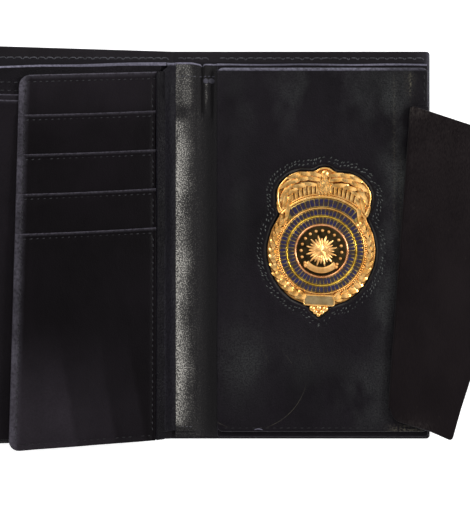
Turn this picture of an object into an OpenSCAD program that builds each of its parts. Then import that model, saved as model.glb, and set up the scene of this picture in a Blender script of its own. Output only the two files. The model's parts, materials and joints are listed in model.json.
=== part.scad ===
// Tall leather badge wallet, lying open: badge side on the right, card page and left cover raised.
// The origin is the middle of the spine, at the underside. +X is right, +Y is the top edge, +Z is up.

/* [Cover] */
// Height of the cover, along the spine
cover_h = 172; // [150:1:200]
// Width of one half of the cover, from its fold to its free edge
half_w = 95.9; // [92:0.1:105]
// Width of the spine between its two folds
spine_w = 18.4; // [18.4:0.1:24]
// Thickness of the outer leather
leather_t = 1.3; // [1:0.1:1.6]
// Thickness of the lining bonded inside the outer leather
lining_t = 0.5; // [0.3:0.1:0.7]
// Corner radius of the cover
cover_r = 1.5; // [1:0.5:6]
// Angle at which the left cover and the card page stand off the table
open_tilt = 12; // [0:1:20]

/* [Bill compartment] */
// Gap between the lining and the inner leather, held open by the welts
bill_gap = 0.8; // [0.6:0.1:1]
// Width of the welts that close the compartment
welt_w = 4; // [2:0.5:8]
// Thickness of the inner leather
inner_t = 0.8; // [0.6:0.1:1]
// Distance from the top of the cover to the turned edge of the inner leather
mouth_drop = 6; // [4:0.2:12]
// Distance from the free edges of the cover to those of the inner leather
inner_margin = 1.2; // [0.6:0.1:2]

/* [Badge panel] */
// Thickness of the stiff board
board_t = 1; // [0.8:0.1:1.3]
// Thickness of the leather-covered badge panel
panel_t = 3; // [2.6:0.1:3.2]
// Distance from the right fold to the panel
panel_inset = 1.5; // [1.4:0.1:3]
// Distance from the free edge of the cover to the panel
panel_margin = 1.6; // [1.2:0.1:3]
// Distance from the top of the cover to the panel
panel_drop = 8.5; // [8:0.1:14]
// Distance from the bottom of the cover to the panel
panel_rise = 3.8; // [3:0.1:6]
// Corner radius of the panel
panel_r = 2.5; // [1:0.5:5]
// Thickness of the leather at the bottom of the badge recess
recess_liner_t = 0.4; // [0.3:0.1:0.6]
// Gap between the badge and the edge of its recess
recess_gap = 1.2; // [0.6:0.1:2]

/* [Badge] */
// Greatest width of the badge
badge_w = 47.6; // [40:0.2:52]
// Height of the badge from its crest to its tip
badge_h = 66.1; // [56:0.1:72]
// Distance from the right fold to the middle of the badge
badge_x = 47.5; // [44:0.1:52]
// Height of the middle of the medallion over the middle of the wallet
badge_y = -2.6; // [-6:0.1:4]
// Clockwise lean of the badge
badge_lean = 2.7; // [0:0.1:6]
// Thickness of the struck plate
plate_t = 1.2; // [1:0.1:1.4]
// Height of the wreath and of the rings over the plate
relief_t = 0.9; // [0.6:0.1:1.1]
// Height of the crest over the plate
crest_t = 1.5; // [1:0.1:1.6]
// Height of the enamel over the plate
enamel_t = 0.5; // [0.3:0.1:0.6]
// Height of the dome of the medallion over the plate
medallion_dome = 1.4; // [0.8:0.1:1.5]
// Width of a gold ring
ring_w = 0.7; // [0.5:0.1:0.8]

/* [Badge pin] */
// Radius of the pin stem
pin_r = 0.4; // [0.3:0.05:0.45]
// Length of the pin stem
pin_l = 30; // [24:1:34]
// Width of the joint and of the catch
pin_block_w = 4; // [3:0.5:5]

/* [Badge flap] */
// Thickness of the outer leather of the flap
flap_t = 0.8; // [0.6:0.1:0.9]
// Thickness of the suede on the inner side of the flap
suede_t = 0.6; // [0.4:0.1:0.7]
// Thickness of the folded strip that carries the flap
flap_base_t = 1.9; // [1.8:0.1:2.2]
// Upper end of the crease, from the free edge of the cover and the middle of the wallet
crease_top = [-9, 60.8];
// Lower end of the crease, from the free edge of the cover and the middle of the wallet
crease_foot = [-19.1, -76.2];
// Corners of the flap, from the free edge of the cover and the middle of the wallet
flap_corners = [[-0.3, 58.2], [49, 42], [12.3, -72.3], [8.5, -86], [-0.7, -81.9]];
// Corner radii of the flap
flap_radii = [1, 6, 3, 3, 2];

/* [Card page] */
// Width of the card page from the fold to its free edge
page_w = 67.6; // [67:0.1:74]
// Height of the top of the page at the hinge over the middle of the wallet
page_top = 76.6; // [74:0.1:80]
// Depth of the bottom of the page at the hinge under the middle of the wallet
page_foot = 85; // [80:0.1:88]
// How far the free edge of the page sags
page_sag = 3.6; // [0:0.1:5]
// How far the bottom of the page lies further out than its top
page_lean = 4.6; // [0:0.1:6]
// Distance from the fold to the page
page_inset = 4.2; // [4.2:0.1:6]
// Corner radius of the page
page_r = 3.5; // [2:0.5:6]
// Thickness of the back of the page
page_back_t = 0.8; // [0.6:0.1:1]
// Thickness of the stiffener in the page
page_core_t = 0.6; // [0.4:0.1:0.7]
// Thickness of one card slot layer
slot_t = 0.7; // [0.5:0.1:0.8]
// Number of card slots
slot_count = 4; // [2:1:4]
// Distance from the top of the page to the first slot edge
slot_drop = 17.2; // [12:0.1:20]
// Distance between slot edges
slot_pitch = 17.1; // [14:0.1:18]
// Width of the grained band beside the hinge
band_w = 4.1; // [3:0.1:7]

/* [Left pockets] */
// Thickness of a left pocket layer
pocket_t = 0.8; // [0.6:0.1:0.9]
// Distance from the top of the cover to the edge of the rear pocket
pocket_drop = 21; // [18:0.1:26]
// Distance between the edges of the two left pockets
pocket_step = 2.6; // [2:0.1:6]
// Distance from the bottom of the cover to the left pockets
pocket_rise = 2; // [1.5:0.1:4]

/* [Spine] */
// Distance from each fold of the spine to the inner strip on the left side
strip_inset = 1.2; // [1.2:0.1:2]
// Width of the scuffed inner strip
strip_w = 9.6; // [7:0.1:9.6]
// Height of the scuffed strip over the inner leather
strip_rise = 1.1; // [0.6:0.1:1.1]
// Distance from the top of the cover to the strip
strip_drop = 8.2; // [8:0.1:14]

/* [Stitching] */
// Length of a stitch
stitch_l = 2; // [1.5:0.1:2.2]
// Distance between stitches
stitch_pitch = 3; // [2.6:0.1:4]
// Width of a thread
thread_w = 0.5; // [0.3:0.1:0.7]
// Height of a thread over the leather
thread_h = 0.25; // [0.15:0.05:0.3]
// Distance of a seam from the edge that it holds
seam_in = 2.4; // [1.8:0.1:3]
// Distance of the inner badge seam from the recess
badge_seam_in = 2.2; // [1.6:0.1:3]
// Distance between the two badge seams
badge_seam_step = 1.8; // [1.4:0.1:2.5]

/* [Clearances] */
// Gap between pieces of different bodies
gap = 0.3; // [0.3:0.05:0.4]

/* [Hidden] */
$fn = 48;
over = 1;
arc_steps = 6;
// Corner radius of a cut edge
cut_r = 0.5;
// Height of a pocket's seam over the pocket's edge
row_rise = 4;

// Right half of the badge outline, from the middle of the medallion, as shares of its half width and height
badge_half_share = [
    [0, 0.561], [0.1, 0.556], [0.19, 0.53], [0.44, 0.528], [0.66, 0.496], [0.815, 0.439], [0.878, 0.38],
    [0.861, 0.3], [0.803, 0.233], [0.933, 0.133], [1, 0.027], [0.987, -0.061], [0.933, -0.127],
    [0.849, -0.194], [0.702, -0.266], [0.517, -0.322], [0.315, -0.353], [0.185, -0.372], [0, -0.439],
];
// Middle radii of the three gold rings, radius of the medallion and outer radius of the banner,
// as shares of the height of the badge
ring_shares = [0.174, 0.2315, 0.286];
medallion_r_share = 0.165;
banner_r_share = 0.358;
// Half the angle that the banner covers
banner_half_angle = 48;
// Width of the number plate as a share of the width of the badge, and its height as a share of the height
number_w_share = 0.28;
number_h_share = 0.066;
// Places in that outline: beside the head, and the waist
wing_tip = 2;
waist = 8;
// Leaves of one side of the wreath, their shares of the width of the badge, and the angles that they cover
leaf_count = 9;
leaf_l_share = 0.13;
leaf_w_share = 0.055;
leaf_splay = 28;
wreath_from = -72;
wreath_sweep = 96;
// Feathers of one wing, and shares of the width or height of the badge
feather_count = 8;
feather_l_share = 0.23;
feather_w_share = 0.06;
feather_out_share = 0.042;
wing_x_share = 0.09;
feather_lean = 2.5;
// Heights of the feathers, from the first to the last, as shares of the height of the crest
feather_height_shares = [0.6, 0.9];
// Head and breast: their radii, how far their middles lie from the wings' ends, and the breast's height
head_r_share = 0.07;
head_down_share = 0.04;
breast_r_share = 0.085;
breast_height_share = 0.9;
// Star of the emblem: its points, and the radii of its tips and notches as shares of the medallion
star_points = 5;
star_shares = [0.45, 0.19];

// Heights of the layers, from the underside
shell_t = leather_t + lining_t;
fold_z = shell_t / 2;
bead_r = shell_t / 2;
inner_z = shell_t + bill_gap;
board_z = inner_z + inner_t;
panel_z = board_z + board_t;
panel_top_z = panel_z + panel_t;
plate_z = panel_z + recess_liner_t;
relief_z = plate_z + plate_t;
leaf_z = panel_top_z + flap_base_t + gap;
pocket_z = board_z;
page_z = pocket_z + 2 * pocket_t + gap;
core_z = page_z + page_back_t;
slots_z = core_z + page_core_t;

// Radii and places on the badge
ring_radii = ring_shares * badge_h;
medallion_r = medallion_r_share * badge_h;
banner_r = banner_r_share * badge_h;
number_w = number_w_share * badge_w;
number_h = number_h_share * badge_h;
rings_r = ring_radii[2] + ring_w / 2;
number_y = -rings_r - ring_w / 2 - number_h / 2;

// Places across the wallet
fold_x = spine_w / 2;
edge_x = fold_x + half_w;
top_y = cover_h / 2;
mouth_y = top_y - mouth_drop;
panel_x0 = fold_x + panel_inset;
panel_x1 = edge_x - panel_margin;
panel_y0 = panel_rise - top_y;
panel_y1 = top_y - panel_drop;
inner_edge_x = edge_x - inner_margin;
inner_foot_y = inner_margin - top_y;
left_inner_x = fold_x + page_inset;
badge_at = [fold_x + badge_x, badge_y];
strip_x0 = strip_inset - fold_x;
strip_x1 = strip_x0 + strip_w;
page_h = page_top + page_foot;

// Shades of the real finishes
black_leather = [0.13, 0.12, 0.14];
worn_leather = [0.42, 0.41, 0.4];
lining_black = [0.09, 0.08, 0.1];
board_grey = [0.3, 0.29, 0.28];
suede_brown = [0.15, 0.13, 0.13];
thread_black = [0.2, 0.19, 0.22];
gold = [0.86, 0.64, 0.32];
dark_gold = [0.6, 0.44, 0.22];
enamel_blue = [0.1, 0.1, 0.34];
pin_steel = [0.7, 0.7, 0.72];

// Points of an outline with each corner rounded by its radius
function unit(v) = v / norm(v);
function corner_arc(before, at, after, r) =
    let (
        a = unit(before - at),
        b = unit(after - at),
        half = acos(a * b) / 2,
        reach = r / tan(half),
        c = at + unit(a + b) * r / sin(half),
        from = at + a * reach - c,
        to = at + b * reach - c,
        start = atan2(from[1], from[0]),
        turn = atan2(from[0] * to[1] - from[1] * to[0], from * to)
    )
    [for (i = [0:arc_steps]) c + r * [cos(start + turn * i / arc_steps), sin(start + turn * i / arc_steps)]];
function rounded(points, radii) =
    let (n = len(points))
    [for (i = [0:n - 1], p = corner_arc(points[(i + n - 1) % n], points[i], points[(i + 1) % n], radii[i])) p];
function box_points(x0, y0, x1, y1) = [[x0, y0], [x1, y0], [x1, y1], [x0, y1]];
function same(count, value) = [for (i = [1:count]) value];

// A flat layer of leather with rounded corners
module layer(x0, y0, x1, y1, z, t, r) {
    translate([0, 0, z])
        linear_extrude(t)
            polygon(rounded(box_points(x0, y0, x1, y1), same(4, r)));
}

// The space that a round fold sweeps, along the whole spine
module fold_room(x) {
    translate([x, top_y + over, fold_z])
        rotate([90, 0, 0])
            cylinder(r = norm([bead_r, bead_r]) + gap, h = cover_h + 2 * over);
}

// One row of stitches between two points of a surface
module stitch_row(from, to, z) {
    run = norm(to - from);
    count = floor(run / stitch_pitch);
    angle = atan2(to[1] - from[1], to[0] - from[0]);
    for (i = [0:count - 1])
        translate([
            from[0] + (to[0] - from[0]) * (i + 1 / 2) / count,
            from[1] + (to[1] - from[1]) * (i + 1 / 2) / count,
            z
        ])
            rotate(angle)
                translate([-stitch_l / 2, -thread_w / 2, 0])
                    cube([stitch_l, thread_w, thread_h]);
}

// Raises what is modelled flat on the left half to its open angle
module raised() {
    translate([-fold_x, 0, fold_z])
        rotate([0, open_tilt, 0])
            translate([fold_x, 0, -fold_z])
                children();
}

// Right half of the shell
module cover_right() {
    color(black_leather)
        difference() {
            layer(fold_x, -top_y, edge_x, top_y, 0, leather_t, bead_r / 2);
            fold_room(fold_x);
            cover_corners();
        }
}

// What a rounded outer corner takes off a layer of the right half
module cover_corners() {
    for (side = [-1, 1])
        translate([0, 0, -over])
            linear_extrude(shell_t + 2 * over)
                difference() {
                    translate([edge_x - cover_r, side > 0 ? top_y - cover_r : -top_y - over])
                        square([cover_r + over, cover_r + over]);
                    translate([edge_x - cover_r, side * (top_y - cover_r)])
                        circle(cover_r);
                }
}

module lining_right() {
    color(lining_black)
        difference() {
            translate([fold_x, inner_margin - top_y, leather_t])
                cube([half_w - inner_margin, cover_h - 2 * inner_margin, lining_t]);
            fold_room(fold_x);
        }
}

module bill_welt_right() {
    color(lining_black)
        translate([inner_edge_x - welt_w, inner_foot_y + welt_w, shell_t])
            cube([welt_w, mouth_y - inner_foot_y - welt_w, bill_gap]);
}

module bill_welt_right_foot() {
    color(lining_black)
        translate([panel_x0, inner_foot_y, shell_t])
            cube([inner_edge_x - panel_x0, welt_w, bill_gap]);
}

module inner_leather_right() {
    color(black_leather)
        layer(panel_x0, inner_foot_y, inner_edge_x, mouth_y, inner_z, inner_t, panel_r / 2);
}

// Places a child of the badge at its middle, at its lean
module at_badge(z) {
    translate([badge_at[0], badge_at[1], z])
        rotate(-badge_lean)
            children();
}

function badge_half() = [for (p = badge_half_share) [p[0] * badge_w / 2, p[1] * badge_h]];
function badge_points() =
    let (half = badge_half(), n = len(half))
    concat(half, [for (i = [n - 2:-1:1]) [-half[i][0], half[i][1]]]);

// The badge outline, grown by a margin
module badge_shape(margin = 0) {
    if (margin == 0)
        polygon(badge_points());
    else
        offset(r = margin, $fn = 16)
            polygon(badge_points());
}

module pin_slot(margin) {
    at_badge(board_z - over)
        linear_extrude(board_t + recess_liner_t + 2 * over)
            square([pin_l + 2 * pin_block_w + margin, pin_block_w + margin], center = true);
}

module panel_board() {
    color(board_grey)
        difference() {
            layer(panel_x0, panel_y0, panel_x1, panel_y1, board_z, board_t, panel_r);
            pin_slot(recess_gap);
        }
}

module badge_panel() {
    color(black_leather)
        difference() {
            layer(panel_x0, panel_y0, panel_x1, panel_y1, panel_z, panel_t, panel_r);
            at_badge(panel_z - over)
                linear_extrude(panel_t + 2 * over)
                    badge_shape(recess_gap);
        }
}

module recess_liner() {
    color(lining_black)
        difference() {
            at_badge(panel_z)
                linear_extrude(recess_liner_t)
                    badge_shape(recess_gap / 2);
            pin_slot(recess_gap);
        }
}

module badge_plate() {
    color(gold)
        at_badge(plate_z)
            linear_extrude(plate_t)
                badge_shape();
}

// One pointed leaf, lying along +Y from its stalk
module leaf(length, width) {
    r = (length * length / 4 + width * width / 4) / width;
    intersection() {
        translate([r - width / 2, length / 2])
            circle(r);
        translate([width / 2 - r, length / 2])
            circle(r);
    }
}

module wreath_leaves(r) {
    for (side = [0, 1])
        mirror([side, 0])
            for (i = [0:leaf_count - 1], tip = [-1, 1])
                rotate(wreath_from + wreath_sweep * i / (leaf_count - 1))
                    translate([r - badge_w * leaf_w_share / 2, 0])
                        rotate(-tip * leaf_splay)
                            leaf(badge_w * leaf_l_share, badge_w * leaf_w_share);
}

// All of the badge above its waist
module above_waist() {
    translate([-badge_w, badge_h * badge_half_share[waist][1]])
        square([2 * badge_w, badge_h]);
}

module badge_wreath() {
    wreath_r = rings_r + badge_w * leaf_w_share;
    color(gold)
        at_badge(relief_z)
            linear_extrude(relief_t)
                difference() {
                    intersection() {
                        union() {
                            circle(wreath_r);
                            wreath_leaves(wreath_r);
                        }
                        badge_shape();
                    }
                    circle(rings_r);
                    banner_shape();
                    above_waist();
                    translate([0, number_y])
                        square([number_w + ring_w, number_h + ring_w], center = true);
                }
}

// The arc over the rings that the banner fills
module banner_shape() {
    reach = banner_r + badge_h;
    difference() {
        intersection() {
            circle(banner_r);
            polygon([
                [0, 0],
                reach * [sin(banner_half_angle), cos(banner_half_angle)],
                [0, reach + reach],
                reach * [-sin(banner_half_angle), cos(banner_half_angle)],
            ]);
        }
        circle(rings_r);
    }
}

// One wing: feathers side by side, standing on the banner
module wing() {
    rise = feather_height_shares[1] - feather_height_shares[0];
    for (i = [0:feather_count - 1]) {
        x = badge_w * (wing_x_share + feather_out_share * i);
        translate([x, sqrt(banner_r * banner_r - x * x) - badge_w * feather_w_share, 0])
            rotate(-feather_lean * i)
                linear_extrude(crest_t * (feather_height_shares[0] + rise * i / feather_count))
                    leaf(badge_h * feather_l_share, badge_w * feather_w_share);
    }
}

// Spread wings and a raised head over the banner
module badge_crest() {
    head_y = badge_h * (badge_half_share[wing_tip][1] - head_down_share);
    color(gold)
        at_badge(relief_z)
            difference() {
                intersection() {
                    linear_extrude(crest_t)
                        intersection() {
                            badge_shape();
                            above_waist();
                        }
                    union() {
                        linear_extrude(relief_t / 2)
                            above_waist();
                        for (side = [0, 1])
                            mirror([side, 0, 0])
                                wing();
                        translate([0, head_y, 0])
                            cylinder(r = badge_w * head_r_share, h = crest_t);
                        translate([0, banner_r + badge_w * breast_r_share, 0])
                            cylinder(r = badge_w * breast_r_share, h = crest_t * breast_height_share);
                    }
                }
                translate([0, 0, -over])
                    linear_extrude(crest_t + 2 * over) {
                        circle(rings_r);
                        banner_shape();
                    }
            }
}

module ring(r, w, z, t) {
    at_badge(z)
        linear_extrude(t)
            difference() {
                circle(r + w / 2);
                circle(r - w / 2);
            }
}

module badge_rings() {
    color(gold)
        for (r = ring_radii)
            ring(r, ring_w, relief_z, relief_t);
}

module badge_enamel() {
    color(enamel_blue) {
        for (i = [0, 1]) {
            inner = ring_radii[i] + ring_w / 2;
            outer = ring_radii[i + 1] - ring_w / 2;
            ring((inner + outer) / 2, outer - inner, relief_z, enamel_t);
        }
        at_badge(relief_z)
            linear_extrude(enamel_t)
                banner_shape();
    }
}

module badge_medallion() {
    dome_r = (medallion_r * medallion_r + medallion_dome * medallion_dome) / (2 * medallion_dome);
    color(dark_gold)
        at_badge(relief_z)
            rotate_extrude($fn = 96)
                intersection() {
                    translate([0, medallion_dome - dome_r])
                        circle(dome_r, $fn = 256);
                    square([medallion_r, medallion_dome - relief_t / 3]);
                }
}

// A plain star that stands on the medallion
module badge_emblem() {
    color(gold)
        at_badge(relief_z + medallion_dome - relief_t / 3)
            linear_extrude(relief_t / 3)
                polygon([for (i = [0:2 * star_points - 1])
                    medallion_r * star_shares[i % 2] * [sin(i * 180 / star_points), cos(i * 180 / star_points)]]);
}

module badge_number_plate() {
    color(gold)
        at_badge(relief_z)
            translate([-number_w / 2, number_y - number_h / 2, 0])
                cube([number_w, number_h, relief_t]);
}

module badge_pin_joint() {
    color(pin_steel)
        at_badge(board_z)
            difference() {
                translate([-pin_l / 2 - pin_block_w, -pin_block_w / 2, 0])
                    cube([pin_block_w, pin_block_w, board_t + recess_liner_t]);
                translate([-pin_l / 2 - pin_block_w / 2, 0, board_t / 2])
                    rotate([0, 90, 0])
                        cylinder(r = pin_r, h = pin_block_w);
            }
}

module badge_pin_stem() {
    color(pin_steel)
        at_badge(board_z + board_t / 2)
            translate([-pin_l / 2 - pin_block_w / 2, 0, 0])
                rotate([0, 90, 0])
                    cylinder(r = pin_r, h = pin_l + pin_block_w);
}

module badge_pin_catch() {
    color(pin_steel)
        at_badge(board_z)
            difference() {
                translate([pin_l / 2, -pin_block_w / 2, 0])
                    cube([pin_block_w, pin_block_w, board_t + recess_liner_t]);
                translate([pin_l / 2 - over, 0, board_t / 2])
                    rotate([0, 90, 0])
                        cylinder(r = pin_r, h = pin_block_w / 2 + over);
            }
}

// Ends of the crease and the corners of the flap, in the plane of the wallet
function from_edge(p) = [edge_x + p[0], p[1]];
crease_a = from_edge(crease_top);
crease_b = from_edge(crease_foot);
crease_dir = unit(crease_a - crease_b);
crease_out = [crease_dir[1], -crease_dir[0]];

module flap_base() {
    color(black_leather)
        translate([0, 0, panel_top_z])
            linear_extrude(flap_base_t)
                polygon([crease_b, [panel_x1, crease_b[1]], [panel_x1, crease_a[1]], crease_a]);
}

module flap_layer(z, t) {
    points = concat(
        [crease_b + crease_out * gap],
        [crease_a + crease_out * gap],
        [for (c = flap_corners) from_edge(c)]
    );
    translate([0, 0, z])
        linear_extrude(t)
            polygon(rounded(points, concat([cut_r, cut_r], flap_radii)));
}

module flap_leather() {
    color(black_leather)
        flap_layer(leaf_z, flap_t);
}

module flap_suede() {
    color(suede_brown)
        flap_layer(leaf_z + flap_t, suede_t);
}

module shell_thread_right() {
    color(thread_black)
        stitch_row([panel_x0, mouth_y + mouth_drop / 2], [edge_x - seam_in, mouth_y + mouth_drop / 2], shell_t);
}

module panel_thread() {
    inset = seam_in - panel_margin / 2;
    color(thread_black) {
        stitch_row([panel_x1 - inset, crease_a[1] + seam_in], [panel_x1 - inset, panel_y1 - seam_in], panel_top_z);
        stitch_row([panel_x0 + seam_in, panel_y0 + inset], [crease_b[0], panel_y0 + inset], panel_top_z);
    }
}

// Stitches along the badge outline, grown by a margin
module badge_seam(margin) {
    points = badge_points();
    n = len(points);
    for (i = [0:n - 1]) {
        a = points[i];
        b = points[(i + 1) % n];
        out = unit([a[1] - b[1], b[0] - a[0]]);
        if (norm(b - a) > stitch_l)
            stitch_row(a + out * margin, b + out * margin, 0);
    }
}

module badge_thread() {
    color(thread_black)
        at_badge(panel_top_z)
            for (i = [0, 1])
                badge_seam(recess_gap + badge_seam_in + i * badge_seam_step);
}

// Spine
module cover_spine() {
    color(black_leather)
        difference() {
            translate([-fold_x, -top_y, 0])
                cube([spine_w, cover_h, leather_t]);
            fold_room(fold_x);
            fold_room(-fold_x);
        }
}

module lining_spine() {
    color(lining_black)
        difference() {
            translate([-fold_x, inner_margin - top_y, leather_t])
                cube([spine_w, cover_h - 2 * inner_margin, lining_t]);
            fold_room(fold_x);
            fold_room(-fold_x);
        }
}

module fold_bead(x) {
    translate([x, top_y, fold_z])
        rotate([90, 0, 0])
            cylinder(r = bead_r, h = cover_h);
}

module fold_bead_right() {
    color(black_leather)
        fold_bead(fold_x);
}

module fold_bead_left() {
    color(black_leather)
        fold_bead(-fold_x);
}

module inner_leather_spine() {
    color(black_leather)
        translate([strip_x0, inner_foot_y, shell_t])
            cube([strip_w, mouth_y - inner_foot_y, bill_gap + inner_t]);
}

// Convex strip along the spine, rubbed grey
module spine_strip() {
    r = (strip_w * strip_w / 4 + strip_rise * strip_rise) / (2 * strip_rise);
    color(worn_leather)
        translate([(strip_x0 + strip_x1) / 2, top_y - strip_drop, board_z])
            rotate([90, 0, 0])
                linear_extrude(cover_h - strip_drop - panel_rise)
                    intersection() {
                        translate([0, strip_rise - r])
                            circle(r, $fn = 128);
                        translate([-strip_w / 2, 0])
                            square([strip_w, strip_rise]);
                    }
}

module spine_thread() {
    y = mouth_y + mouth_drop / 2;
    color(thread_black)
        stitch_row([-fold_x + bead_r + gap, y], [fold_x - bead_r - gap, y], shell_t);
}

// Card page: a point of the page by its distance from the fold and its height
function page_point(d, y) =
    let (down_share = (page_top - y) / page_h)
    [-fold_x - d - page_lean * down_share * d / page_w, y - page_sag * d / page_w];

module page_layer(d0, d1, y0, y1, z, t, radii) {
    points = [page_point(d0, y0), page_point(d0, y1), page_point(d1, y1), page_point(d1, y0)];
    raised()
        translate([0, 0, z])
            linear_extrude(t)
                polygon(rounded(points, radii));
}

slot_d0 = page_inset + band_w;

module page_back() {
    color(black_leather)
        page_layer(page_inset, page_w, -page_foot, page_top, page_z, page_back_t, [cut_r, cut_r, page_r, page_r]);
}

module page_core() {
    color(board_grey)
        page_layer(page_inset, page_w, -page_foot, page_top, core_z, page_core_t, [cut_r, cut_r, page_r, page_r]);
}

module card_slot(i) {
    color(black_leather)
        page_layer(
            slot_d0, page_w, -page_foot, page_top - slot_drop - i * slot_pitch,
            slots_z + i * slot_t, slot_t, [cut_r, cut_r, cut_r, page_r]
        );
}

module card_slot_1() {
    card_slot(0);
}

module card_slot_2() {
    card_slot(1);
}

module card_slot_3() {
    if (slot_count > 2)
        card_slot(2);
}

module card_slot_4() {
    if (slot_count > 3)
        card_slot(3);
}

module page_hinge_band() {
    color(black_leather)
        page_layer(
            page_inset, slot_d0, -page_foot, page_top,
            slots_z, slot_count * slot_t, same(4, cut_r)
        );
}

module page_thread() {
    color(thread_black)
        raised() {
            for (i = [0:slot_count - 1]) {
                y = page_top - slot_drop - i * slot_pitch - seam_in;
                z = slots_z + (i + 1) * slot_t;
                foot = i == slot_count - 1 ? seam_in - page_foot : y + seam_in - slot_pitch;
                stitch_row(page_point(page_w - seam_in, y), page_point(slot_d0 + seam_in, y), z);
                for (d = [page_w - seam_in, slot_d0 + seam_in])
                    stitch_row(page_point(d, foot + stitch_l / 2), page_point(d, y - stitch_l / 2), z);
            }
            stitch_row(
                page_point(page_w - seam_in, seam_in - page_foot), page_point(slot_d0 + seam_in, seam_in - page_foot),
                slots_z + slot_count * slot_t
            );
        }
}

// Left half of the shell
module cover_left() {
    color(black_leather)
        raised()
            mirror([1, 0, 0])
                difference() {
                    layer(fold_x, -top_y, edge_x, top_y, 0, leather_t, bead_r / 2);
                    fold_room(fold_x);
                    cover_corners();
                }
}

module lining_left() {
    color(lining_black)
        raised()
            mirror([1, 0, 0])
                difference() {
                    translate([fold_x, inner_margin - top_y, leather_t])
                        cube([half_w - inner_margin, cover_h - 2 * inner_margin, lining_t]);
                    fold_room(fold_x);
                }
}

module bill_welt_left() {
    color(lining_black)
        raised()
            mirror([1, 0, 0])
                translate([inner_edge_x - welt_w, inner_foot_y + welt_w, shell_t])
                    cube([welt_w, mouth_y - inner_foot_y - welt_w, bill_gap]);
}

module bill_welt_left_foot() {
    color(lining_black)
        raised()
            mirror([1, 0, 0])
                translate([left_inner_x, inner_foot_y, shell_t])
                    cube([inner_edge_x - left_inner_x, welt_w, bill_gap]);
}

module inner_leather_left() {
    color(black_leather)
        raised()
            mirror([1, 0, 0])
                layer(left_inner_x, inner_foot_y, inner_edge_x, mouth_y, inner_z, inner_t, panel_r / 2);
}

module left_pocket(i) {
    color(black_leather)
        raised()
            mirror([1, 0, 0])
                layer(
                    left_inner_x, pocket_rise - top_y, edge_x - pocket_rise, top_y - pocket_drop - i * pocket_step,
                    pocket_z + i * pocket_t, pocket_t, panel_r / 2
                );
}

module left_pocket_rear() {
    left_pocket(0);
}

module left_pocket_front() {
    left_pocket(1);
}

module left_thread() {
    y = mouth_y + mouth_drop / 2;
    color(thread_black)
        raised() {
            stitch_row([seam_in - edge_x, y], [-left_inner_x, y], shell_t);
            for (i = [0, 1]) {
                row_y = top_y - pocket_drop + row_rise - i * pocket_step;
                stitch_row([2 * seam_in - edge_x, row_y], [-left_inner_x - seam_in, row_y], pocket_z);
            }
        }
}

cover_right();
lining_right();
bill_welt_right();
bill_welt_right_foot();
inner_leather_right();
panel_board();
badge_panel();
recess_liner();
badge_plate();
badge_wreath();
badge_crest();
badge_rings();
badge_enamel();
badge_medallion();
badge_emblem();
badge_number_plate();
badge_pin_joint();
badge_pin_stem();
badge_pin_catch();
flap_base();
shell_thread_right();
panel_thread();
badge_thread();
cover_spine();
lining_spine();
inner_leather_spine();
spine_strip();
spine_thread();
fold_bead_right();
fold_bead_left();
page_back();
page_core();
card_slot_1();
card_slot_2();
card_slot_3();
card_slot_4();
page_hinge_band();
page_thread();
cover_left();
lining_left();
bill_welt_left();
bill_welt_left_foot();
inner_leather_left();
left_pocket_rear();
left_pocket_front();
left_thread();
flap_leather();
flap_suede();
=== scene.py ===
"""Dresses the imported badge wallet: leather, lining, thread, suede, gold and enamel around its fixed frame.

Lengths are in metres. The origin is the middle of the spine at its underside, +X is right, +Y is the top edge
and +Z is up. What belongs to the left half and the card page is modelled flat and then raised to its open
angle.
"""

import json
import logging
import math
import random
from collections.abc import Callable, Sequence
from dataclasses import dataclass, field
from enum import Enum

import bpy
from mathutils import Matrix, Vector
from mathutils.kdtree import KDTree


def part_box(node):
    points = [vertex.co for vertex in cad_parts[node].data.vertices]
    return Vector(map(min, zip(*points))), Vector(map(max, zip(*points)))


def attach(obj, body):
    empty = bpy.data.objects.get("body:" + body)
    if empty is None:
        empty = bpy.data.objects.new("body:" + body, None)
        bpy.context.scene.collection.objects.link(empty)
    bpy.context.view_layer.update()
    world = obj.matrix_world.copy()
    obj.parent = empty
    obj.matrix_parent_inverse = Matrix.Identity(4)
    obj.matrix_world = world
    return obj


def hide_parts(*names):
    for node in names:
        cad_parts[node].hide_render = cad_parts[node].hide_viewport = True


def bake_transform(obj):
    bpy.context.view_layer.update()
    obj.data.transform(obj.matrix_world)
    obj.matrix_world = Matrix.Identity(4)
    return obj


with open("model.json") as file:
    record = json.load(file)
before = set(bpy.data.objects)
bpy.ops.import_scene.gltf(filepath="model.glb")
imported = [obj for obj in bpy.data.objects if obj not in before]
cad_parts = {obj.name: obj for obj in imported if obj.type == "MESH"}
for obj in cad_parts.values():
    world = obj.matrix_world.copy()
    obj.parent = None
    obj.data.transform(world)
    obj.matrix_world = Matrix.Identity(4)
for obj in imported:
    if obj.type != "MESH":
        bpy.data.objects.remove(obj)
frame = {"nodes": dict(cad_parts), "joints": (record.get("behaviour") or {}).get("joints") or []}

Spot = tuple[float, float]
Triple = tuple[float, float, float]
Colour = Triple
Piece = bpy.types.Object
Material = bpy.types.Material

MM = 0.001
WEAR_AND_HIGHLIGHT = "wear_and_highlight"
SCUFF = "scuff"
DEPTH = "depth"
PAINTED_SHEEN = "painted_sheen"
log = logging.getLogger("wallet")


class Body(Enum):
    """The moving bodies of the frame."""

    BADGE_SIDE = "badge_side"
    SPINE = "spine"
    CARD_PAGE = "card_page"
    LEFT_COVER = "left_cover"
    FLAP = "flap"


class Side(Enum):
    """The two halves of whatever is the same on both sides."""

    LEFT = -1
    RIGHT = 1

    @property
    def label(self) -> str:
        """The side's name, as the pieces' names carry it."""
        return self.name.lower()

    @property
    def body(self) -> Body:
        """The body of this half of the wallet."""
        return Body.BADGE_SIDE if self is Side.RIGHT else Body.LEFT_COVER


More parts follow.
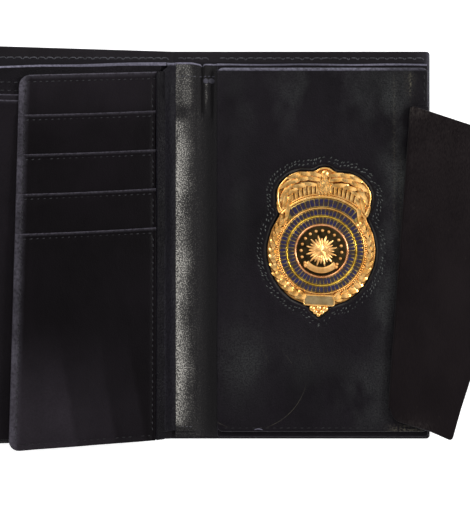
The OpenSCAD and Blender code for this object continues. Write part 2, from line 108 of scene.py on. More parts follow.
class Slot(Enum):
    """The material slots of the record."""

    LEATHER = "black_leather"
    LINING = "lining_black"
    WORN = "worn_leather"
    SUEDE = "suede"
    THREAD = "thread"
    GOLD = "gold"
    DARK_GOLD = "dark_gold"
    ENAMEL = "enamel"


# Curves and places


def ease(low: float, high: float, value: float) -> float:
    """Rises smoothly from 0 at low to 1 at high, which may also lie below it."""
    share = max(0.0, min(1.0, (value - low) / (high - low)))
    return share * share * (3 - 2 * share)


def hump(value: float, middle: float, width: float, power: int = 2) -> float:
    """Stands at 1 at its middle and falls to 0 on both sides, more steeply for a greater power."""
    return math.exp(-(((value - middle) / width) ** power))


def shift(x: float, y: float, z: float = 0.0) -> Matrix:
    """The matrix that moves by a distance."""
    return Matrix.Translation((x, y, z))


def spin(degrees: float) -> Matrix:
    """The matrix that turns about Z."""
    return Matrix.Rotation(math.radians(degrees), 4, "Z")


def stretch(x: float, y: float, z: float) -> Matrix:
    """The matrix that stretches along each axis."""
    return Matrix.Diagonal((x, y, z, 1))


def polar(radius: float, degrees: float) -> Spot:
    """The place at a radius from the middle, at an angle from +X."""
    return radius * math.cos(math.radians(degrees)), radius * math.sin(math.radians(degrees))


def spread(low: float, high: float, step: float, margin: float = 0.0) -> list[float]:
    """Even places between two ends, with one more close to each end.

    Args:
        low: The lower end.
        high: The upper end.
        step: The greatest distance between places.
        margin: Distance of the outer places from the ends, or 0 for none.

    Returns:
        The places in order.
    """
    count = max(1, math.ceil((high - low) / step))
    inner = [low + (high - low) * i / count for i in range(1, count)]
    if margin:
        inner = [p for p in inner if low + 1.5 * margin < p < high - 1.5 * margin]
        inner = [low + margin, *inner, high - margin]
    return inner


def beside(middle: float, gap: float, count: int) -> list[float]:
    """A middle place and a count of others at even gaps on both sides of it."""
    return [middle + k * gap for k in range(-count, count + 1)]


def oblong(low: Sequence[float], high: Sequence[float]) -> list[Spot]:
    """The four corners of a rectangle, from its lowest and highest corner."""
    return [(low[0], low[1]), (high[0], low[1]), (high[0], high[1]), (low[0], high[1])]


def rounded(corners: Sequence[Spot], radii: Sequence[float] | float, steps: int = 5) -> list[Spot]:
    """Rounds the corners of an outline.

    Args:
        corners: The sharp corners in order.
        radii: One radius for each corner, 0 for a sharp one, or a single one for all.
        steps: Straight lengths in each arc.

    Returns:
        The outline with arcs in place of its corners.
    """
    if isinstance(radii, float):
        radii = [radii] * len(corners)
    found = []
    for i, (corner, radius) in enumerate(zip(corners, radii)):
        at = Vector(corner)
        if radius <= 0:
            found.append(tuple(at))
            continue
        back = (Vector(corners[i - 1]) - at).normalized()
        ahead = (Vector(corners[(i + 1) % len(corners)]) - at).normalized()
        half = back.angle(ahead) / 2
        middle = at + (back + ahead).normalized() * radius / math.sin(half)
        start = at + back * radius / math.tan(half) - middle
        end = at + ahead * radius / math.tan(half) - middle
        turn = math.atan2(start.x * end.y - start.y * end.x, start.dot(end))
        for step in range(steps + 1):
            arm = Matrix.Rotation(turn * step / steps, 2) @ start
            found.append(tuple(middle + arm))
    return found


def flow(points: Sequence[Spot]) -> list[Vector]:
    """Draws a smooth closed line through points, with four steps from each to the next.

    Args:
        points: The points in order.

    Returns:
        The line's points.
    """
    knots = [Vector(p) for p in points]
    count, steps = len(knots), 4
    drawn = []
    for i in range(count):
        a, b, c, d = (knots[(i + k) % count] for k in (-1, 0, 1, 2))
        for step in range(steps):
            t = step / steps
            bend = (2 * a - 5 * b + 4 * c - d) * t * t + (3 * b - a - 3 * c + d) * t**3
            drawn.append(0.5 * (2 * b + (c - a) * t + bend))
    return drawn


def grow(line: Sequence[Vector], margin: float) -> list[Vector]:
    """Moves a closed clockwise line outwards.

    Args:
        line: The line's points.
        margin: How far it is moved.

    Returns:
        The moved points.
    """
    grown = []
    for i, point in enumerate(line):
        along = (line[(i + 1) % len(line)] - line[i - 1]).normalized()
        grown.append(point + Vector((-along.y, along.x)) * margin)
    return grown


# Bench tools: what the hands do to every piece


def lay_down() -> None:
    """Leaves edit mode and lets go of every piece."""
    if bpy.context.mode != "OBJECT":
        bpy.ops.object.mode_set(mode="OBJECT")
    bpy.ops.object.select_all(action="DESELECT")


def take(piece: Piece) -> None:
    """Makes one piece the only one in hand.

    Args:
        piece: The piece to select and make active.
    """
    lay_down()
    piece.select_set(True)
    bpy.context.view_layer.objects.active = piece


def open_mesh(piece: Piece) -> None:
    """Opens a piece for mesh work, with all of it selected.

    Args:
        piece: The piece to open.
    """
    take(piece)
    bpy.ops.object.mode_set(mode="EDIT")
    bpy.ops.mesh.select_all(action="SELECT")


def begin(shape: Callable, **settings: object) -> Piece:
    """Starts a piece from one of the basic shapes.

    Args:
        shape: The operator that adds the shape.
        **settings: The operator's settings.

    Returns:
        The shape.
    """
    lay_down()
    shape(**settings)
    return bpy.context.object


def press(piece: Piece, kind: str, **settings: object) -> None:
    """Adds a modifier to a piece and applies it.

    Args:
        piece: The piece to change.
        kind: The modifier's type.
        **settings: The modifier's properties.
    """
    take(piece)
    modifier = piece.modifiers.new(kind.title(), kind)
    for key, value in settings.items():
        setattr(modifier, key, value)
    bpy.ops.object.modifier_apply(modifier=modifier.name)


def bevel(piece: Piece, width: float, angle: float, segments: int = 3) -> None:
    """Rounds the edges of a piece that are sharper than an angle in degrees."""
    limits = {"limit_method": "ANGLE", "angle_limit": math.radians(angle)}
    press(piece, "BEVEL", width=width, segments=segments, **limits)


def reshape(piece: Piece, warp: Callable[[Vector], Vector]) -> Piece:
    """Moves every vertex of a piece by hand.

    Args:
        piece: The piece to change.
        warp: Gives a vertex's new place from its old one.

    Returns:
        The same piece.
    """
    for vertex in piece.data.vertices:
        vertex.co = warp(vertex.co.copy())
    piece.data.update()
    return piece


def tint(piece: Piece, name: str, amount: Callable[[Vector, Vector], float]) -> None:
    """Paints a value from 0 to 1 on the vertices, for a finish to read.

    Args:
        piece: The piece to paint.
        name: The attribute's name.
        amount: Gives the value from a vertex's place and normal.
    """
    layer = piece.data.attributes.new(name, "FLOAT", "POINT")
    values = [max(0.0, min(1.0, amount(v.co, v.normal))) for v in piece.data.vertices]
    layer.data.foreach_set("value", values)


def smooth(piece: Piece, angle: float) -> Piece:
    """Shades a piece smooth, apart from sharp edges.

    Args:
        piece: The piece to shade.
        angle: How sharp an edge may be to be smoothed, in degrees.

    Returns:
        The same piece.
    """
    take(piece)
    bpy.ops.object.shade_smooth_by_angle(angle=math.radians(angle))
    return piece


def face_outwards(piece: Piece) -> Piece:
    """Turns all faces of a piece outwards.

    Args:
        piece: The piece to mend.

    Returns:
        The same piece.
    """
    open_mesh(piece)
    bpy.ops.mesh.normals_make_consistent(inside=False)
    lay_down()
    return piece


def gather(pieces: Sequence[Piece]) -> Piece:
    """Joins pieces into one.

    Args:
        pieces: The pieces, at least one.

    Returns:
        The joined piece.
    """
    lay_down()
    for piece in pieces:
        piece.select_set(True)
    bpy.context.view_layer.objects.active = pieces[0]
    if len(pieces) > 1:
        bpy.ops.object.join()
    return bpy.context.view_layer.objects.active


def stamp(pattern: Piece, places: Sequence[Matrix]) -> Piece:
    """Copies a modelled pattern to many places and joins the copies.

    Args:
        pattern: The piece that is repeated, removed afterwards.
        places: One matrix for each copy.

    Returns:
        The joined copies.
    """
    copies = []
    for place in places:
        copy = pattern.copy()
        copy.data = pattern.data.copy()
        copy.data.transform(place)
        if place.determinant() < 0:
            copy.data.flip_normals()
        bpy.context.scene.collection.objects.link(copy)
        copies.append(copy)
    bpy.data.objects.remove(pattern)
    return gather(copies)


def score(piece: Piece, columns: Sequence[float], rows: Sequence[float]) -> None:
    """Cuts a grid of edges into a piece, so that its faces can bend.

    Args:
        piece: The piece to cut.
        columns: Places along X.
        rows: Places along Y.
    """
    open_mesh(piece)
    cuts = [((x, 0, 0), (1, 0, 0)) for x in columns] + [((0, y, 0), (0, 1, 0)) for y in rows]
    for at, across in cuts:
        bpy.ops.mesh.select_all(action="SELECT")
        bpy.ops.mesh.bisect(plane_co=at, plane_no=across, threshold=MM / 1000)
    lay_down()


def blank(outline: Sequence[Spot], bottom: float, thickness: float) -> Piece:
    """Cuts a flat solid from an outline.

    Args:
        outline: The outline's points in order.
        bottom: Height of the underside.
        thickness: Thickness of the solid.

    Returns:
        The solid, with its normals outwards.
    """
    piece = begin(bpy.ops.mesh.primitive_circle_add, vertices=len(outline), radius=1, fill_type="NGON")
    for vertex, (x, y) in zip(piece.data.vertices, outline):
        vertex.co = (x, y, bottom)
    open_mesh(piece)
    bpy.ops.mesh.extrude_region_move(TRANSFORM_OT_translate={"value": (0, 0, thickness)})
    return face_outwards(piece)


def cut_leather(
    outline: Sequence[Spot],
    bottom: float,
    thickness: float,
    roll: float,
    columns: Sequence[float] = (),
    rows: Sequence[float] = (),
    segments: int = 3,
) -> Piece:
    """Cuts a piece of leather, or of metal, with rolled edges.

    Args:
        outline: The outline's points in order.
        bottom: Height of the underside.
        thickness: Thickness of the piece.
        roll: Radius of its edges.
        columns: Places along X where it may bend.
        rows: Places along Y where it may bend.
        segments: Steps in a rolled edge.

    Returns:
        The piece, with its normals outwards.
    """
    piece = blank(outline, bottom, thickness)
    bevel(piece, roll, 35, segments)
    score(piece, columns, rows)
    return piece


def tube(points: Sequence[Vector], radius: float, closed: bool = False, sides: int = 2) -> Piece:
    """Bends a round wire along points.

    Args:
        points: The wire's centreline.
        radius: The wire's radius.
        closed: Whether its ends meet.
        sides: Steps in a quarter of its round section, less one.

    Returns:
        The wire as a mesh.
    """
    curve = bpy.data.curves.new("wire", "CURVE")
    curve.dimensions = "3D"
    curve.bevel_depth = radius
    curve.bevel_resolution = sides
    curve.use_fill_caps = True
    line = curve.splines.new("POLY")
    line.points.add(len(points) - 1)
    for point, at in zip(line.points, points):
        point.co = (*at, 1)
    line.use_cyclic_u = closed
    wire = bpy.data.objects.new("wire", curve)
    bpy.context.scene.collection.objects.link(wire)
    take(wire)
    bpy.ops.object.convert(target="MESH")
    return face_outwards(bpy.context.object)


# Finishes


class Value:
    """A value on its way through a recipe's nodes, to be added and multiplied like a number."""

    def __init__(self, recipe: "Recipe", socket: bpy.types.NodeSocket) -> None:
        """Holds the output of a node."""
        self.recipe = recipe
        self.socket = socket

    def joined(self, kind: str, other: "Value | float" = 0.0) -> "Value":
        """Joins it with another value, by the operation of a math node."""
        return self.recipe.node("Math", {0: self, 1: other}, operation=kind)

    def __add__(self, other: "Value | float") -> "Value":
        """Adds another value."""
        return self.joined("ADD", other)

    def __sub__(self, other: "Value | float") -> "Value":
        """Takes another value away."""
        return self.joined("SUBTRACT", other)

    def __mul__(self, other: "Value | float") -> "Value":
        """Multiplies by another value."""
        return self.joined("MULTIPLY", other)

    def __pow__(self, other: float) -> "Value":
        """Raises it to a power."""
        return self.joined("POWER", other)

    def span(self, low: float, high: float, to_low: float = 0.0, to_high: float = 1.0) -> "Value":
        """Brings it from one range into another."""
        ends = {"From Min": low, "From Max": high, "To Min": to_low, "To Max": to_high}
        return self.recipe.node("MapRange", {"Value": self, **ends})


class Recipe:
    """The nodes of a material or of the room's light, put together step by step around one shader."""

    def __init__(self, owner: Material | bpy.types.World, shader: str = "Principled BSDF") -> None:
        """Starts a recipe.

        Args:
            owner: The new material, or the world, that it is for.
            shader: The name of the shader that the owner starts with.
        """
        owner.use_nodes = True
        self.tree = owner.node_tree
        self.shader = self.tree.nodes[shader]
        self.place = self.node("TexCoord", {}, "Object")

    def plug(self, socket: bpy.types.NodeSocket, value: object) -> None:
        """Gives a socket its value.

        Args:
            socket: The socket.
            value: A value of this recipe to link, or a plain number, vector or colour to set.
        """
        if isinstance(value, Value):
            self.tree.links.new(value.socket, socket)
        elif socket.type == "RGBA":
            socket.default_value = (*value, 1)
        else:
            socket.default_value = value

    def node(self, kind: str, inputs: dict, output: int | str = 0, **settings: object) -> Value:
        """Adds a node.

        Args:
            kind: Its type.
            inputs: What its sockets take, by their names or numbers.
            output: The output that is read.
            **settings: Its own properties.

        Returns:
            The output's value.
        """
        node = self.tree.nodes.new(f"ShaderNode{kind}")
        for key, value in settings.items():
            setattr(node, key, value)
        for key, value in inputs.items():
            self.plug(node.inputs[key], value)
        return Value(self, node.outputs[output])

    def feed(self, **values: object) -> None:
        """Feeds the shader's own sockets, with spaces written as underscores."""
        for key, value in values.items():
            self.plug(self.shader.inputs[key.replace("_", " ")], value)

    def along(self, axis: str, place: Value | None = None) -> Value:
        """One coordinate of the object, or of another place."""
        return self.node("SeparateXYZ", {0: place or self.place}, axis)

    def noise(self, scale: float, detail: float, squeeze: Triple = (1, 1, 1), turn: float = 0) -> Value:
        """A cloudy pattern from 0 to 1, by clouds to a metre, finer layers, squeeze and turn in radians."""
        place = self.node("Mapping", {"Vector": self.place, "Scale": squeeze, "Rotation": (0, 0, turn)})
        return self.node("TexNoise", {"Vector": place, "Scale": scale, "Detail": detail})

    def cells(self, scale: float) -> Value:
        """A pebbled pattern, highest at the borders of its cells."""
        return self.node("TexVoronoi", {"Vector": self.place, "Scale": scale})

    def painted(self, name: str) -> Value:
        """The value painted on the piece under a name, 0 where it has none."""
        return self.node("Attribute", {}, "Fac", attribute_name=name)

    def mix(self, share: Value, a: Value | Colour, b: Value | Colour) -> Value:
        """Mixes two colours by a share from 0 to 1."""
        return self.node("Mix", {"Factor": share, 6: a, 7: b}, 2, data_type="RGBA")

    def emboss(self, height: Value, depth: float) -> None:
        """Raises a pattern from the surface by a depth in metres."""
        self.feed(Normal=self.node("Bump", {"Strength": 1.0, "Distance": depth, "Height": height}))


@dataclass(frozen=True)
class Finish:
    """A finish of the wallet, known by its name."""

    name: str

    def brew(self, recipe: Recipe) -> None:
        """Puts the finish together in a recipe."""
        raise NotImplementedError

    def make(self) -> Material:
        """Builds the finish.

        Returns:
            The material.
        """
        material = bpy.data.materials.new(self.name)
        self.brew(Recipe(material))
        return material


@dataclass(frozen=True)
class Scratch:
    """A fine curved scratch: the circle that it is a part of, and how far down and up it runs."""

    middle: Spot
    radius: float
    foot: float
    head: float
    width: float = 0.12 * MM
    foot_fade: float = 2 * MM
    head_fade: float = 9 * MM

    def mask(self, recipe: Recipe) -> Value:
        """Where the scratch shows.

        Args:
            recipe: The recipe that it is for.

        Returns:
            A value from 0 to 1.
        """
        across, up = recipe.along("X"), recipe.along("Y")
        away = ((across - self.middle[0]) ** 2 + (up - self.middle[1]) ** 2) ** 0.5
        line = (away - self.radius).joined("ABSOLUTE").span(self.width, 0.2 * self.width)
        above = up.span(self.foot, self.foot + self.foot_fade)
        return line * above * up.span(self.head, self.head - self.head_fade)


@dataclass(frozen=True)
class Leather(Finish):
    """Smooth dyed leather, pale at its edges from rubbing and from painted highlights, with painted sheen in
    places.
    """

    dark: Colour = (0.0036, 0.0023, 0.0037)
    light: Colour = (0.0082, 0.0058, 0.0086)
    # Pale colour of rubbed edges and of painted edge highlights.
    worn: Colour = (0.12, 0.115, 0.15)
    scuffed: Colour = (0.11, 0.10, 0.072)
    # Colour of the painted sheen.
    painted_sheen_colour: Colour = (0.036, 0.031, 0.034)
    grain: float = 1400.0
    relief: float = 0.05 * MM
    roughness: Spot = (0.38, 0.58)
    specular: float = 0.09
    striation: float = 0.12
    wrinkle: Spot = (190.0, 3.0)
    sheen_clouds: Spot = (0.3, 1.2)
    speckle: Spot = (0.45, 1.45)
    scratches: tuple[Scratch, ...] = ()

    def brew(self, recipe: Recipe) -> None:
        """Lays cloudy dye, fine lines, painted grey sheen, pale edges from rubbing and painted highlights,
        and scuffs over one another, then the grain.

        Args:
            recipe: The recipe to fill.
        """
        noise = recipe.noise
        speckle = noise(1500, 3).span(0.36, 0.64, *self.speckle)
        clouds = noise(60, 7, (1, 0.7, 1), 0.5).span(0.36, 0.66, 0, 0.6)
        clouds = clouds + noise(16, 4).span(0.38, 0.62, -0.25, 0.55)
        dye = recipe.mix(clouds * speckle, self.dark, self.light)
        lines = noise(430, 5, (1, 0.05, 1)).span(0.5, 0.8, 0, self.striation)
        lines = lines * noise(26, 3, (1, 0.4, 1)).span(0.42, 0.62)
        dye = recipe.mix(lines, dye, tuple(3 * c for c in self.light))
        # Painted sheen: lighter grey clouds that stand for the leather's sheen where the attribute is set.
        sheen_clouds = noise(70, 8, (1, 0.6, 1), -0.3).span(0.38, 0.62, *self.sheen_clouds) * speckle
        dye = recipe.mix(recipe.painted(PAINTED_SHEEN) * sheen_clouds, dye, self.painted_sheen_colour)
        breakup = noise(900, 4).span(0.32, 0.6, 0.35, 1)
        # Pale edges: rubbed leather and painted highlights where the rounded edges turn to the light.
        dye = recipe.mix(recipe.painted(WEAR_AND_HIGHLIGHT) * breakup, dye, self.worn)
        flecks = recipe.painted(SCUFF) * noise(1100, 4).span(0.45, 0.62)
        for scratch in self.scratches:
            flecks = flecks.joined("MAXIMUM", scratch.mask(recipe) * breakup * 0.55)
        pebbles = recipe.cells(self.grain) * 0.7 + noise(self.grain * 1.7, 4)
        recipe.emboss(pebbles + noise(self.wrinkle[0], 6, (1, 0.6, 1), 0.6) * self.wrinkle[1], self.relief)
        recipe.feed(
            Base_Color=recipe.mix(flecks, dye, self.scuffed),
            Roughness=noise(160, 4).span(0.3, 0.7, *self.roughness),
            Specular_IOR_Level=self.specular,
        )


@dataclass(frozen=True)
class RubbedLeather(Finish):
    """Leather whose dye is rubbed through to pale specks."""

    dark: Colour = (0.008, 0.0072, 0.008)
    dull: Colour = (0.05, 0.048, 0.046)
    pale: Colour = (0.40, 0.385, 0.35)

    def brew(self, recipe: Recipe) -> None:
        """Lays dragged dull patches and then pale specks over the dark dye, where it is rubbed.

        Args:
            recipe: The recipe to fill.
        """
        rub = recipe.painted(SCUFF)
        specks = recipe.noise(2300, 4, (1, 0.8, 1)).span(0.3, 0.7, 0.15, 0.85)
        level = rub * recipe.noise(260, 4, (1, 0.12, 1)).span(0.35, 0.65, 0.4, 1.15)
        ground = recipe.mix(level.span(0.05, 0.6), self.dark, self.dull)
        show = (specks + level * 0.17).span(0.57, 0.8) * rub
        recipe.emboss(specks + recipe.cells(1300), 0.12 * MM)
        recipe.feed(
            Base_Color=recipe.mix(show, ground, self.pale),
            Roughness=specks.span(0.3, 0.7, 0.5, 0.75),
            Specular_IOR_Level=0.12,
        )


@dataclass(frozen=True)
class Suede(Finish):
    """Brushed flesh side of leather."""

    deep: Colour = (0.0032, 0.0019, 0.0024)
    nap: Colour = (0.0086, 0.0061, 0.0068)
    # Pale colour of lint, rubbed fibres and painted edge highlights.
    worn: Colour = (0.11, 0.095, 0.085)

    def brew(self, recipe: Recipe) -> None:
        """Lays brushed tones, a little lint and pale fibres over one another, the pale fibres partly rubbed
        and partly a painted highlight on the cut edges.

        Args:
            recipe: The recipe to fill.
        """
        brushed = recipe.noise(55, 5, (1, 0.6, 1), 0.4)
        fibres = recipe.noise(2600, 3, (1, 0.3, 1), -0.3)
        tone = brushed.span(0.3, 0.7, 0, 0.7) + fibres.span(0.3, 0.7, 0, 0.4)
        lint = recipe.noise(700, 1).span(0.77, 0.83, 0, 0.12)
        colour = recipe.mix(lint, recipe.mix(tone, self.deep, self.nap), self.worn)
        recipe.emboss(fibres + brushed, 0.12 * MM)
        recipe.feed(
            Base_Color=recipe.mix(recipe.painted(WEAR_AND_HIGHLIGHT) * fibres.span(0.4, 0.6), colour, self.worn),
            Roughness=0.95,
            Specular_IOR_Level=0.08,
            Sheen_Weight=0.03,
            Sheen_Roughness=0.5,
        )


@dataclass(frozen=True)
class Cloth(Finish):
    """Fine woven lining."""

    deep: Colour = (0.005, 0.0042, 0.0058)
    light: Colour = (0.011, 0.0095, 0.0125)
    bands: float = 700.0

    def brew(self, recipe: Recipe) -> None:
        """Crosses two sets of threads.

        Args:
            recipe: The recipe to fill.
        """
        sockets = {"Vector": recipe.place, "Scale": self.bands, "Distortion": 0.4}
        warp, weft = (recipe.node("TexWave", sockets, "Fac", bands_direction=axis) for axis in "XY")
        weave = warp * weft
        recipe.emboss(weave, 0.04 * MM)
        colour = recipe.mix(weave, self.deep, self.light)
        recipe.feed(Base_Color=colour, Roughness=0.8, Specular_IOR_Level=0.12)


@dataclass(frozen=True)
class Thread(Finish):
    """Waxed sewing thread, fuzzy with age."""

    dark: Colour = (0.02, 0.02, 0.024)
    pale: Colour = (0.10, 0.10, 0.115)

    def brew(self, recipe: Recipe) -> None:
        """Twists the ply and lets its tone change along the seams.

        Args:
            recipe: The recipe to fill.
        """
        ply = recipe.noise(4200, 2, (1, 0.4, 1), 0.6)
        tone = recipe.noise(420, 3).span(0.35, 0.65) * ply
        recipe.emboss(ply, 0.06 * MM)
        recipe.feed(Base_Color=recipe.mix(tone, self.dark, self.pale), Roughness=0.7, Specular_IOR_Level=0.3)


@dataclass(frozen=True)
class Metal(Finish):
    """Struck and plated metal."""

    bright: Colour
    deep: Colour
    roughness: Spot = (0.15, 0.3)
    # Colour of the dark dirt and painted shade in the depths.
    grime_and_shade: Colour = (0.09, 0.03, 0.007)
    pits: float = 0.028 * MM

    def brew(self, recipe: Recipe) -> None:
        """Lays patina on the plating, and dark dirt with painted shade in its depths.

        Args:
            recipe: The recipe to fill.
        """
        plated = recipe.mix(recipe.noise(380, 5).span(0.34, 0.66), self.deep, self.bright)
        recipe.emboss(recipe.noise(1600, 4), self.pits)
        recipe.feed(
            Base_Color=recipe.mix(recipe.painted(DEPTH), plated, self.grime_and_shade),
            Roughness=recipe.noise(700, 3).span(0.3, 0.7, *self.roughness),
            Metallic=1.0,
        )


@dataclass(frozen=True)
class Enamel(Finish):
    """Fired enamel, dark blue with a brown cast."""

    blue: Colour = (0.007, 0.006, 0.052)
    brown: Colour = (0.020, 0.012, 0.014)

    def brew(self, recipe: Recipe) -> None:
        """Clouds the blue with brown under a thin clear coat.

        Args:
            recipe: The recipe to fill.
        """
        recipe.emboss(recipe.noise(700, 3), 0.06 * MM)
        recipe.feed(
            Base_Color=recipe.mix(recipe.noise(420, 3).span(0.38, 0.58), self.blue, self.brown),
            Roughness=recipe.noise(900, 3).span(0.3, 0.7, 0.1, 0.3),
            Coat_Weight=0.5,
            Coat_Roughness=0.08,
            Specular_IOR_Level=0.25,
        )


@dataclass(frozen=True)
class Board(Finish):
    """Pressed grey board."""

    dark: Colour = (0.05, 0.048, 0.045)
    pale: Colour = (0.11, 0.105, 0.1)

    def brew(self, recipe: Recipe) -> None:
        """Mixes its fibres."""
        recipe.emboss(recipe.noise(2500, 3), 0.05 * MM)
        recipe.feed(Base_Color=recipe.mix(recipe.noise(900, 5), self.dark, self.pale), Roughness=0.9)


class Finishes:
    """All the finishes of the wallet, each made once."""

    def __init__(self) -> None:
        """Makes every finish."""
        self.cover = Leather(
            "cover_leather", light=(0.0078, 0.0060, 0.0082), specular=0.13, roughness=(0.46, 0.52),
            wrinkle=(420.0, 0.8),
        ).make()
        self.panel = Leather(
            "panel_leather", dark=(0.0014, 0.0007, 0.0017), light=(0.0047, 0.0032, 0.0053), relief=0.11 * MM,
            painted_sheen_colour=(0.032, 0.034, 0.0335), specular=0.1, sheen_clouds=(0.0, 1.4), speckle=(0.3, 1.6),
            scratches=(
                Scratch((24.1 * MM, -55 * MM), 26.5 * MM, -80.5 * MM, -60 * MM),
                Scratch((-6.4 * MM, -85.3 * MM), 60 * MM, -53 * MM, -44 * MM, 0.08 * MM),
                Scratch((-30.8 * MM, -79.4 * MM), 70 * MM, -52 * MM, -43 * MM, 0.08 * MM),
                Scratch((-13.7 * MM, -75.6 * MM), 70 * MM, -53.5 * MM, -45 * MM, 0.07 * MM),
            ),
        ).make()
        self.page = Leather(
            "page_leather", dark=(0.0016, 0.0009, 0.0015), light=(0.0036, 0.0024, 0.0036), specular=0.06,
            worn=(0.08, 0.074, 0.092), painted_sheen_colour=(0.0205, 0.0168, 0.0215), striation=0.15, sheen_clouds=(0.8, 1.1),
            speckle=(0.82, 1.12),
        ).make()
        self.band = Leather(
            "grained_band_leather", dark=(0.0014, 0.0009, 0.0018), light=(0.0036, 0.0027, 0.0048),
            grain=850.0, relief=0.2 * MM, striation=0.0, specular=0.08, wrinkle=(900.0, 1.0),
        ).make()
        # Painted highlight: a pale violet for the turned edges, standing for the light along their rounded
        # tops.
        self.mouth = Leather(
            "turned_mouth_leather", dark=(0.034, 0.032, 0.044), light=(0.065, 0.062, 0.083),
            worn=(0.19, 0.18, 0.235), roughness=(0.5, 0.65), striation=0.1,
        ).make()
        self.rubbed = RubbedLeather("rubbed_spine_leather").make()
        self.suede = Suede("flap_suede_nap").make()
        self.cloth = Cloth("bill_lining_cloth").make()
        self.tack = Thread("pale_tack_thread", (0.03, 0.029, 0.038), (0.085, 0.081, 0.108)).make()
        self.thread = Thread("dark_thread").make()
        self.dark_thread = Thread("dark_panel_thread", (0.003, 0.0025, 0.0035), (0.014, 0.013, 0.016)).make()
        self.fine_thread = Thread("fine_dark_thread", (0.007, 0.0065, 0.008), (0.038, 0.038, 0.043)).make()
        self.fuzz = Thread("frayed_thread", (0.010, 0.011, 0.011), (0.16, 0.17, 0.16)).make()
        self.gold = Metal("relief_gold", (1.0, 0.62, 0.23), (0.88, 0.44, 0.105)).make()
        self.yellow_gold = Metal(
            "ring_yellow_gold", (0.95, 0.66, 0.12), (0.62, 0.38, 0.04), (0.15, 0.28)
        ).make()
        self.red_gold = Metal("ring_red_gold", (0.98, 0.50, 0.25), (0.62, 0.26, 0.10), (0.15, 0.3)).make()
        self.emblem_gold = Metal("emblem_gold", (0.86, 0.50, 0.19), (0.6, 0.3, 0.09), (0.34, 0.48)).make()
        # Painted shade: the struck ground's dark brown stands for the shade between the relief.
        self.ground = Metal("struck_ground", (0.6, 0.30, 0.085), (0.25, 0.11, 0.025), (0.3, 0.45)).make()
        self.band_gold = Metal("band_gold", (0.42, 0.30, 0.10), (0.2, 0.13, 0.04), (0.16, 0.3)).make()
        self.pale_gold = Metal(
            "number_plate_gold", (0.36, 0.27, 0.14), (0.24, 0.17, 0.08), (0.45, 0.6)
        ).make()
        self.shadow_gold = Metal(
            "medallion_ground", (0.05, 0.035, 0.015), (0.018, 0.012, 0.006), (0.3, 0.5)
        ).make()
        self.enamel = Enamel("navy_enamel").make()
        self.steel = Metal("pin_plating", (0.7, 0.7, 0.72), (0.5, 0.5, 0.52)).make()
        self.board = Board("grey_board").make()


# Places that several pieces share, taken from the frame


@dataclass(frozen=True)
class Span:
    """The box of some of the frame's nodes."""

    low: Vector
    high: Vector

    @classmethod
    def of(cls, *nodes: str) -> "Span":
        """Measures the common box of some of the frame's nodes."""
        lows, highs = zip(*(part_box(node) for node in nodes))
        return cls(Vector([min(axis) for axis in zip(*lows)]), Vector([max(axis) for axis in zip(*highs)]))

    @property
    def middle(self) -> Vector:
        """The middle of the box."""
        return (self.low + self.high) / 2


def joint(name: str) -> dict:
    """The frame's joint of that name."""
    return next(j for j in frame["joints"] if j["name"] == name)


def boxed(*nodes: str) -> Span:
    """A dataclass field that holds the box around some of the frame's nodes."""
    return field(default_factory=lambda: Span.of(*nodes))


FOLD_RIGHT = Vector(joint("spine_fold")["pos_m"])
FOLD_LEFT = Vector(joint("page_fold")["pos_m"])
OPEN_TILT = -math.radians(joint("page_fold")["range_deg"][0])
BEND_FROM = FOLD_RIGHT.x + 0.7 * MM
BEND_TO = FOLD_RIGHT.x - 5.4 * MM


def raised(place: Vector, share: float = 1.0) -> Vector:
    """Lifts a point of the left half to its open angle, or by a share of it."""
    return FOLD_LEFT + Matrix.Rotation(OPEN_TILT * min(1.0, share), 4, "Y") @ (place - FOLD_LEFT)


def bend_columns(x0: float, x1: float, step: float, margin: float = 0.0) -> list[float]:
    """Places between two ends where a layer may bend, close together over the right fold."""
    outside = [x for x in spread(x0, x1, step, margin) if not BEND_TO - 1 * MM < x < BEND_FROM + 1 * MM]
    return sorted(outside + spread(BEND_TO - 0.5 * MM, BEND_FROM + 0.5 * MM, 0.4 * MM, 0.2 * MM))


def bend_over_fold(piece: Piece) -> None:
    """Bakes a layer's transform into its mesh; the layer stays as it was cut and is attached to no body."""
    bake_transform(piece)


def dress(
    piece: Piece,
    name: str,
    finish: Material,
    slot: Slot,
    body: Body | Callable[[Piece], None],
    *stands_for: str,
    angle: float = 0.0,
) -> None:
    """Completes a modelled piece and attaches it to its body, or hands it to a function instead.

    Args:
        piece: The piece. On the card page or the left half it is still flat, and is raised here.
        name: Its name.
        finish: Its material.
        slot: The record's slot of its finish. Not used.
        body: The body that it moves with, or a function that is called on it in place of that.
        *stands_for: The frame's nodes that it replaces.
        angle: Edges less sharp than this are shaded smooth, in degrees, or 0 to leave them.
    """
    if body in (Body.CARD_PAGE, Body.LEFT_COVER):
        reshape(piece, raised)
    if angle:
        smooth(piece, angle)
    take(piece)
    bpy.ops.object.transform_apply(location=True, rotation=True, scale=True)
    piece.name = name
    piece.data.name = name
    piece.data.materials.clear()
    piece.data.materials.append(finish)
    if isinstance(body, Body):
        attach(piece, body.value)
    else:
        body(piece)
    if stands_for:
        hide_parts(*stands_for)
    log.info("%s: %d faces", piece.name, len(piece.data.polygons))


# Thread


